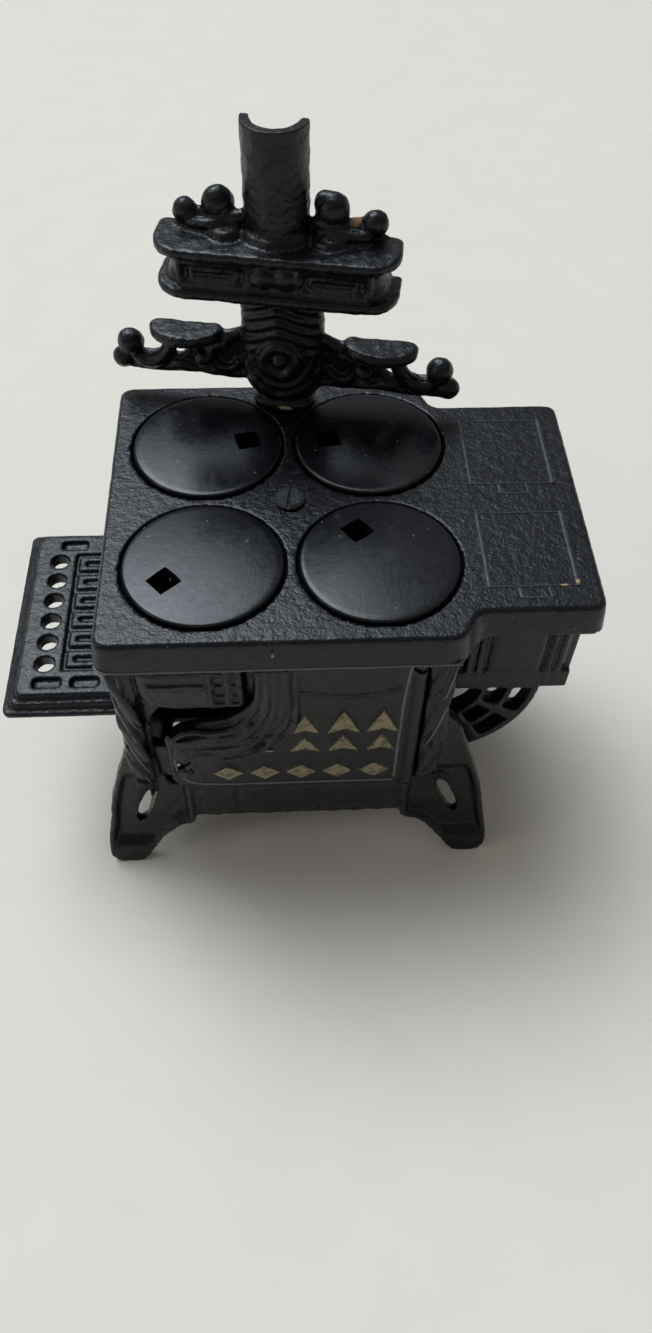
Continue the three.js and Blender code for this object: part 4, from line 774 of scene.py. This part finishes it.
def bent_wall(radius, thick, foot, head, middle, round_off=0.55):
    """A wall bent to a half circle: a rounded upright section carried round at the wall's mid radius."""
    t = np.linspace(0, np.pi / 2, 5)
    half = thick / 2
    section = []
    for i, (side, rise) in enumerate(((1, -1), (1, 1), (-1, 1), (-1, -1))):
        out, up = side * half, head if rise > 0 else foot
        angle = t if i % 2 else np.pi / 2 - t
        section += [(out - side * round_off * (1 - np.cos(v)), up - rise * round_off * (1 - np.sin(v))) for v in angle]
    section = np.array(section)
    a = np.linspace(np.pi, 2 * np.pi, 46)[:, None]
    r = radius - half + section[:, 0]
    return closed_grid(np.stack([middle + r * np.cos(a), r * np.sin(a), section[:, 1] + 0 * a], -1), turn=True)


def flue():
    """The half round pipe, open at the back, over a flared collar and a solid seat."""
    middle = -0.5
    a = np.radians(np.linspace(180, 360, 40))
    seat = np.column_stack([5.4 * np.cos(a), 5.4 * np.sin(a)]) + [middle, 0]
    return [
        bent_wall(6.25, 1.75, 38.2, 59.95, middle),
        bent_wall(7.4, 2.4, 38.0, 40.4, middle, 1.0),
        moulded(seat, [(0, 38.2), (0, 40.4), (-2, 41.0)]),
    ]


def stack_shells():
    """Everything on the stack, in its own frame: across, back and up from the plate."""
    a = np.linspace(0, 2 * np.pi, 37)
    ring = upright(np.column_stack([3.2 * np.cos(a), BOSS_UP + 3.3 * np.sin(a)]), -5.35)
    return [
        stack_column(),
        tube(ring, 1.15),
        ball((0, -5.2, BOSS_UP), (1.5, 1.7, 1.5)),
        moulded(rounded_plan(6.6, 4.6, 1.2, 3.5), rounded_profile(0.3, 1.9, 0.7)),
        moved(turned([(3, -3.0), (3, 1)], 24), (0, -2.0, 0)),
        *stack_arm(-1),
        *stack_arm(1),
        closet_wall(),
        moulded(rounded_plan(23.5, 10.5, 1.3, 6.0), rounded_profile(*CLOSET_FLOOR, 0.8)),
        moulded(rounded_plan(23.5, 10.3, 1.3, 6.0, bow=0.2, back_corner=1.7), rounded_profile(*CLOSET_TOP, 0.7)),
        *drawer_fronts(),
        *gallery(),
        *flue(),
    ]


def stack_marks():
    """A chip down to the primer at the column's foot, and rust on the gallery between its two right balls."""
    chip = ball((1.0, -4.95, 1.2), (1.5, 0.35, 0.45))
    path = smooth_path([(12.4, -0.5, 41.4), (14.2, -0.5, 41.5), (16.2, -0.5, 42.1)], 12)
    rust = tube(path, tapered(len(path), 1.28, 0.7))
    return [(into_stack(points), faces) for points, faces in (chip, rust)]


# ---- the front and the door

# A leg's outline: shares of its height, then its inner and outer edge as shares of half the stove's width
LEG_UP = [0, 0.017, 0.045, 0.085, 0.17, 0.22, 0.255, 0.28, 0.47, 0.584, 0.7, 0.85, 1]
LEG_INNER = [0.86, 0.82, 0.79, 0.76, 0.7, 0.65, 0.6, 0.53, 0.53, 0.53, 0.66, 0.67, 0.66]
LEG_OUTER = [0.94, 0.975, 0.995, 1, 0.99, 0.98, 0.972, 0.966, 0.933, 0.9, 0.866, 0.815, 0.77]
LEG_TALL, STOVE_HALF = 47, 44.8

# The pilasters' lowest and highest point, and each rib's top, length, reach across and radius
PILASTER_SPAN = (30.6, 72.2)
RIBS = ((72.2, 20, 0.85, 0.75), (66.5, 23, 0.9, 0.85), (57.0, 21, 0.85, 0.8), (49.0, 17, 0.8, 0.75))
RIBS += ((72.2, 9, 0.45, 0.55),)

# How far forward the rules on the door lie, and the edges of its painted figures
DOOR_FACE = -35.45
FIGURE_FOOT, FIGURE_FACE, FIGURE_EDGE = 35.3, 36.28, 0.12


def dished_legs(points, normals, outward):
    """The face of each leg sinks between its edges: depth * the product of smooth steps from the outline."""
    depth = bpy.context.scene.stove_casting.leg_dish / MM
    local = points - SHIFT
    up = local[:, 2] / LEG_TALL
    inner = np.interp(up, LEG_UP, LEG_INNER) * STOVE_HALF
    outer = np.interp(up, LEG_UP, LEG_OUTER) * STOVE_HALF
    across = np.abs(local[:, 0])
    away = np.minimum(across - inner, outer - across)
    share = smoothstep(0.7, 2.4, away) * smoothstep(0.09, 0.17, up) * smoothstep(0.72, 0.6, up)
    facing = smoothstep(0.3, 0.8, normals[:, 1] * outward)
    sunk = points.copy()
    sunk[:, 1] -= outward * depth * share * facing
    return sunk


def pilaster_ribs(outer, inner, highlight_lines=False):
    """Long leaf ribs on a corner pilaster, from the top outside to the bottom inside, or thin lines along their lit
    edges, coloured as painted highlights.
    """
    shells = []
    width = inner - outer
    t = np.linspace(0, 1, 20)
    for top, length, reach, radius in RIBS:
        first = 0.12 if length > 10 else 0.5
        x = outer + width * (first + (reach - first) * t**1.5)
        bulge = 2.4 * np.sin(np.pi * np.clip(0.15 + 0.7 * np.abs((x - outer) / width), 0, 1)) ** 0.6
        path = np.column_stack([x, -33.35 - bulge, np.clip(top - length * t, *PILASTER_SPAN)])
        if highlight_lines:
            path += [math.copysign(0.2, outer), -0.8 * radius, 0]
            radius *= 0.32
        shells.append(moved(tube(path, tapered(len(path), radius, 0.25))))
    return shells


def pilaster_highlights():
    """Painted highlights: thin light lines along all ribs of the left pilaster and the upper two of the right one."""
    return pilaster_ribs(-35.4, -30.3, True) + pilaster_ribs(31.0, 26.2, True)[:2]


def front_shells():
    """The pilasters' ribs, a strip beside the hinge, and the twin rules on the firebox bulge."""
    strip = [(25.75, -35.5), (27.4, -35.5), (27.4, -33.0), (25.75, -33.0)]
    shells = pilaster_ribs(-35.4, -30.3) + pilaster_ribs(31.0, 25.9)
    shells.append(moved(moulded(strip, [(0, height) for height in PILASTER_SPAN])))
    for z in (66.6, 68.2):
        shells.append(moved(tube(np.linspace((-26.8, -36.4, z), (-17.6, -36.4, z), 12), 0.32, 8)))
    for x in (-17.0, -15.9):
        shells.append(moved(tube(np.linspace((x, -36.35, 61.5), (x, -36.35, 72.0), 12), 0.3, 8)))
    return shells


def rule(points, radius):
    """A raised line on the door's face, through points given across and up."""
    path = smooth_path(upright(points, DOOR_FACE), 60)
    path[:, [0, 2]] += 0.05 * wobble(path, 5.0)[:, None]
    return moved(tube(path, radius * (1 + 0.2 * wobble(path, 3.1)), 10))


def door_rim_highlights():
    """The door's rim: down its right side, round its lower left corner and along its foot, coloured light grey as a
    painted highlight.
    """
    return [
        rule([(22.2, 71.8), (21.7, 66), (21.4, 60), (21.2, 45), (21.2, 31)], 0.36),
        rule([(-25.6, 43.0), (-25.4, 36.2), (-23.6, 31.6), (-19, 29.9), (-8, 29.6), (6, 29.6), (21, 29.6)], 0.4),
    ]


def door_shells():
    """The soft rule over the ornament's panel, and the fine flow of the hearth between the solid's ribs."""
    shells = [rule([(1.0, 63.9), (7, 62.6), (14, 62.4), (20.6, 64.4)], 0.6)]
    for i in range(5):
        low = 50.2 - 2.1 * i
        flow = [(-24.4 + 0.6 * i, low - 1.8), (-19, low - 0.2), (-13, low + 0.4), (-8.2, low + 3.2)]
        flow = np.array(flow + [(-5.4 + 1.2 * i, low + 9.5), (-5.8 + 1.5 * i, 71.4)])
        path = smooth_path(upright(flow, np.where(flow[:, 0] < -9, -36.75, -36.0)), 40)
        shells.append(moved(tube(path, tapered(len(path), 0.55, 0.3), 8)))
    return shells


def raised_figure(outline):
    """A flat figure on the door: its outline carried forward, its edge drawn in a little at the top."""
    plan = np.concatenate([np.linspace(p, q, 6)[:-1] for p, q in zip(outline, np.roll(outline, -1, 0))])
    profile = [(0, FIGURE_FOOT), (0, FIGURE_FACE - FIGURE_EDGE), (-FIGURE_EDGE, FIGURE_FACE)]
    points, faces = moulded(plan, profile)
    return moved((points[:, [0, 2, 1]] * [1, -1, 1], faces))


def ornament_shells():
    """Six arrowheads in two rows over five lozenges and a dash."""
    arrow = np.array([[0.5, 0], [0.2, 0.62], [0, 1], [-0.2, 0.62], [-0.5, 0], [-0.24, 0.08], [0, 0.2], [0.24, 0.08]])
    lozenge = np.array([[-3.2, 0], [0, -2.7], [3.2, 0], [0, 2.7]])
    dash = np.array([[-1.7, 0], [1.7, 0], [1.7, 0.6], [-1.7, 0.6]])
    rows = ((50.0, ((5.7, 6.2), (6.5, 7.2), (6.3, 7.2))), (43.2, ((6.1, 4.9), (6.0, 5.3), (5.7, 5.3))))
    figures = [arrow * size + [9.7 + 7.9 * (i - 1), foot] for foot, sizes in rows for i, size in enumerate(sizes)]
    figures += [lozenge + [0.9 + 7.8 * (i - 2), 35.0] for i in range(5)]
    return [raised_figure(figure) for figure in figures + [dash + [-6.5, 43.4]]]


# ---- operators

# Each lamp's place, size and power, in metres and watts, and the point that both face
LAMPS = {"window_softbox": ((-0.5, 0.55, 1.25), 0.7, 3.2), "left_strip": ((-0.95, -0.3, 0.5), 0.35, 0.9)}
LAMP_AIM = (0, 0, 0.06)

# The camera solved from the photograph: bearing, dip and roll in degrees, its place in the layout, its focal
# length and the photograph's height in pixels, and the longer side of its sensor in mm
CAMERA_ANGLES = (3.2945, 53.643, 1.0964)
CAMERA_PLACE = (-0.487, -145.525, 141.637 + PLATE_TOP)
FOCAL_PIXELS, PHOTO_PIXELS, SENSOR = 1000, 1333, 36


class STOVE_OT_stage(bpy.types.Operator):
    """Lays the pale floor and sets the lamps, the world and the camera"""

    bl_idname = "stove.stage"
    bl_label = "Stage"

    def execute(self, context):
        scene = context.scene
        self.floor(scene)
        self.lamps(scene)
        self.world(scene)
        self.camera(scene)
        scene.view_settings.view_transform = "Standard"
        return {"FINISHED"}

    def floor(self, scene):
        settings = scene.stove_stage
        half = settings.floor_size / 2
        mesh = bpy.data.meshes.new("floor")
        mesh.from_pydata([(-half, -half, 0), (half, -half, 0), (half, half, 0), (-half, half, 0)], [], [(0, 1, 2, 3)])
        floor = bpy.data.objects.new("floor", mesh)
        scene.collection.objects.link(floor)
        material, tree, shader, place = fresh("pale_floor")
        darker = (*(0.93 * c for c in settings.floor), 1.0)
        weave = mixed(tree, noise(tree, place, 18.0), (*settings.floor, 1.0), darker)
        feed(tree, shader, {"Base Color": weave, "Roughness": 0.9, "Specular IOR Level": 0.2})
        mesh.materials.append(material)

    def lamps(self, scene):
        for name, (place, size, power) in LAMPS.items():
            lamp = bpy.data.lights.new(name, "AREA")
            lamp.shape = "DISK"
            lamp.size = size
            lamp.energy = power
            holder = bpy.data.objects.new(name, lamp)
            holder.location = place
            holder.rotation_euler = (Vector(LAMP_AIM) - Vector(place)).to_track_quat("-Z", "Y").to_euler()
            scene.collection.objects.link(holder)

    def world(self, scene):
        """A pale room: a bright window high at the left back, dim near the horizon and behind the camera."""
        world = bpy.data.worlds.new("pale_room")
        scene.world = world
        world.use_nodes = True
        tree = world.node_tree
        tree.nodes.clear()
        out = add_node(tree, "ShaderNodeOutputWorld")
        towards = {0: add_node(tree, "ShaderNodeTexCoord").outputs["Generated"], 1: (-0.265, 0.424, 0.866)}
        lobe = add_node(tree, "ShaderNodeVectorMath", towards, operation="DOT_PRODUCT").outputs["Value"]
        window = ramp(tree, lobe, [(0.0, 0.0), (0.9, 0.0), (0.93, 0.25), (0.95, 0.65), (0.975, 1.0)])
        room = ramp(tree, lobe, [(0.0, 0.13), (0.35, 0.26), (0.8, 0.26), (1.0, 0.3)])
        daylight = mixed(tree, 1.0, window, (0.88, 1.0, 1.12, 1), blend_type="MULTIPLY")
        glow = add_node(tree, "ShaderNodeBackground", {"Color": daylight, "Strength": 6.8})
        walls = add_node(tree, "ShaderNodeBackground", {"Color": room, "Strength": 1.0})
        light = add_node(tree, "ShaderNodeAddShader", {0: glow.outputs[0], 1: walls.outputs[0]})
        tree.links.new(light.outputs[0], out.inputs["Surface"])

    def camera(self, scene):
        """The camera stands and looks as the photograph's did."""
        bearing, dip, roll = (math.radians(a) for a in CAMERA_ANGLES)
        ahead = Vector((math.sin(bearing) * math.cos(dip), math.cos(bearing) * math.cos(dip), -math.sin(dip)))
        level = Vector((math.cos(bearing), -math.sin(bearing), 0))
        above = level.cross(ahead)
        right = math.cos(roll) * level + math.sin(roll) * above
        up = -math.sin(roll) * level + math.cos(roll) * above
        place = Vector(CAMERA_PLACE) + Vector(SHIFT)
        lens = bpy.data.cameras.new("photo_camera")
        lens.sensor_width = SENSOR
        lens.lens = FOCAL_PIXELS / PHOTO_PIXELS * SENSOR
        lens.clip_start = 0.01
        lens.clip_end = 20
        camera = bpy.data.objects.new("photo_camera", lens)
        camera.matrix_world = Matrix.Translation(place * MM) @ Matrix((right, up, -ahead)).transposed().to_4x4()
        scene.collection.objects.link(camera)
        scene.camera = camera


class STOVE_OT_top_plate(bpy.types.Operator):
    """Casts the top plate with its apron, wells, wing and flap lines"""

    bl_idname = "stove.top_plate"
    bl_label = "Top plate"

    def execute(self, context):
        casting("top_plate_casting", "stove_body", "top_plate", (), level_plate, voxel=0.5, softness=2)
        surface("flap_lines", "stove_body", RUBBED, flap_lines())
        # A light grey bead at the apron's foot: painted highlight
        surface("apron_bead_highlight", "stove_body", PAINTED_HIGHLIGHT, [apron_bead_highlight()])
        surface("wing_paint_chips", "stove_body", PRIMER, paint_chips())
        return {"FINISHED"}


class STOVE_OT_lids(bpy.types.Operator):
    """Turns the four lids, each with its square lifter hole"""

    bl_idname = "stove.lids"
    bl_label = "Lids"

    def execute(self, context):
        for place, across, deep, bearing in LIDS:
            name = "lid_" + place
            middle = SHIFT[:2] + np.array([across, deep]) * LID_SPACING / 2
            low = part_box(name)[0][2] / MM
            surface(name + "_turned", place + "_lid", LID, [lid_shell(middle, bearing, low)], name)
        return {"FINISHED"}


class STOVE_OT_front_casting(bpy.types.Operator):
    """Casts the front with its pilasters, firebox bulge, skirt and dished legs"""

    bl_idname = "stove.front_casting"
    bl_label = "Front casting"

    def execute(self, context):
        detail = dict(shape=lambda p, n: dished_legs(p, n, -1), softness=3, uneven=0.14)
        casting("front_casting", "stove_body", "front_panel", front_shells(), **detail)
        # Thin light grey lines on the pilaster ribs: painted highlights
        surface("pilaster_highlights", "stove_body", PAINTED_HIGHLIGHT, pilaster_highlights())
        return {"FINISHED"}


class STOVE_OT_back_and_sides(bpy.types.Operator):
    """Casts the back, the two sides and the base plate"""

    bl_idname = "stove.back_and_sides"
    bl_label = "Back, sides and base"

    def execute(self, context):
        casting("back_casting", "stove_body", "back_panel", (), lambda p, n: dished_legs(p, n, 1), voxel=0.45)
        for node in ("left_side_panel", "right_side_panel", "base_plate"):
            casting(node + "_casting", "stove_body", node, voxel=0.5, softness=2)
        return {"FINISHED"}


class STOVE_OT_oven_door(bpy.types.Operator):
    """Casts the oven door with its swept hearth, and paints its ornament gold"""

    bl_idname = "stove.oven_door"
    bl_label = "Oven door"

    def execute(self, context):
        shells = door_shells()
        casting("oven_door_casting", "oven_door", "oven_door", shells, voxel=0.35, softness=2, uneven=0.03)
        surface("door_ornament", "oven_door", GOLD, ornament_shells())
        # Light grey rim lines on the door: painted highlight
        surface("door_rim_highlights", "oven_door", PAINTED_HIGHLIGHT, door_rim_highlights())
        # A small near-white ball beside the door knob: a painted glint
        surface("door_painted_glint", "oven_door", PAINTED_GLINT, [moved(ball((-25.0, -35.5, 38.3), (0.42, 0.3, 0.55), 8, 12))])
        return {"FINISHED"}


class STOVE_OT_side_shelf(bpy.types.Operator):
    """Casts the side shelf with its holes, pockets and sunk fret"""

    bl_idname = "stove.side_shelf"
    bl_label = "Side shelf"

    def execute(self, context):
        casting("side_shelf_casting", "side_shelf", "side_shelf", voxel=0.33, softness=2)
        return {"FINISHED"}


class STOVE_OT_reservoir(bpy.types.Operator):
    """Casts the reservoir box and its two openwork brackets"""

    bl_idname = "stove.reservoir"
    bl_label = "Reservoir"

    def execute(self, context):
        casting("reservoir_casting", "stove_body", "reservoir", voxel=0.33, softness=1)
        for node in ("reservoir_bracket_front", "reservoir_bracket_back"):
            casting(node + "_casting", "stove_body", node, voxel=0.33, softness=10)
        return {"FINISHED"}


class STOVE_OT_stack(bpy.types.Operator):
    """Casts the stack: column, arms, warming closet, gallery and flue in one"""

    bl_idname = "stove.stack"
    bl_label = "Stack"

    def execute(self, context):
        chip, rust = stack_marks()
        surface("stack_paint_chip", "stack", PRIMER, [chip])
        surface("gallery_rust", "stack", RUST, [rust])
        detail = dict(shape=lambda p, n: into_stack(p), voxel=0.36, softness=2, uneven=0.15, solid=False)
        casting("stack_casting", "stack", "stack", stack_shells(), **detail)
        return {"FINISHED"}


class STOVE_OT_fasteners(bpy.types.Operator):
    """Finishes the bolt, its nut, the hinge pin and the door knob"""

    bl_idname = "stove.fasteners"
    bl_label = "Fasteners"

    def execute(self, context):
        for node in ("through_bolt", "bolt_nut", "door_hinge_pin"):
            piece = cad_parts[node]
            for slot in piece.material_slots:
                slot.material = finish(CAST if node == "through_bolt" else STEEL)
        low, high = np.array(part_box("door_knob")) / MM
        middle, long = (low + high) / 2, high[1] - low[1]
        stem = [(0.65, 0), (0.65, long - 1.65), (1.25, long - 1.5), (1.66, long - 1.1)]
        head = [(1.6, long - 0.7), (1.25, long - 0.3), (0.75, long - 0.08), (0.2, long)]
        points, faces = turned(stem + head, 36)
        knob = np.column_stack([middle[0] + points[:, 0], high[1] - points[:, 2], middle[2] + points[:, 1]])
        mesh = merged_mesh("door_knob_turned", (), [(knob, faces)])
        new_object("door_knob_turned", mesh, "oven_door", finish(STEEL), "door_knob")
        return {"FINISHED"}


class STOVE_PT_panel(bpy.types.Panel):
    """Lists the stove's pieces and their settings"""

    bl_idname = "STOVE_PT_panel"
    bl_label = "Toy stove"
    bl_space_type = "VIEW_3D"
    bl_region_type = "UI"
    bl_category = "Toy stove"

    def draw(self, context):
        scene = context.scene
        for settings in (scene.stove_paint, scene.stove_casting, scene.stove_stage):
            # The first two properties of every group are Blender's own
            for key in settings.bl_rna.properties.keys()[2:]:
                self.layout.prop(settings, key)
        for operator in OPERATORS:
            self.layout.operator(operator.bl_idname)


OPERATORS = (
    STOVE_OT_stage,
    STOVE_OT_top_plate,
    STOVE_OT_lids,
    STOVE_OT_front_casting,
    STOVE_OT_back_and_sides,
    STOVE_OT_oven_door,
    STOVE_OT_side_shelf,
    STOVE_OT_reservoir,
    STOVE_OT_stack,
    STOVE_OT_fasteners,
)
SETTINGS = {"stove_paint": StovePaint, "stove_casting": StoveCasting, "stove_stage": StoveStage}


def register():
    for kind in (*SETTINGS.values(), *OPERATORS, STOVE_PT_panel):
        bpy.utils.register_class(kind)
    for name, kind in SETTINGS.items():
        setattr(bpy.types.Scene, name, bpy.props.PointerProperty(type=kind))


def unregister():
    for name in SETTINGS:
        delattr(bpy.types.Scene, name)
    for kind in (STOVE_PT_panel, *reversed(OPERATORS), *SETTINGS.values()):
        bpy.utils.unregister_class(kind)


def main():
    register()
    for operator in OPERATORS:
        getattr(bpy.ops.stove, operator.bl_idname.split(".")[1])()


if __name__ == "__main__":
    main()
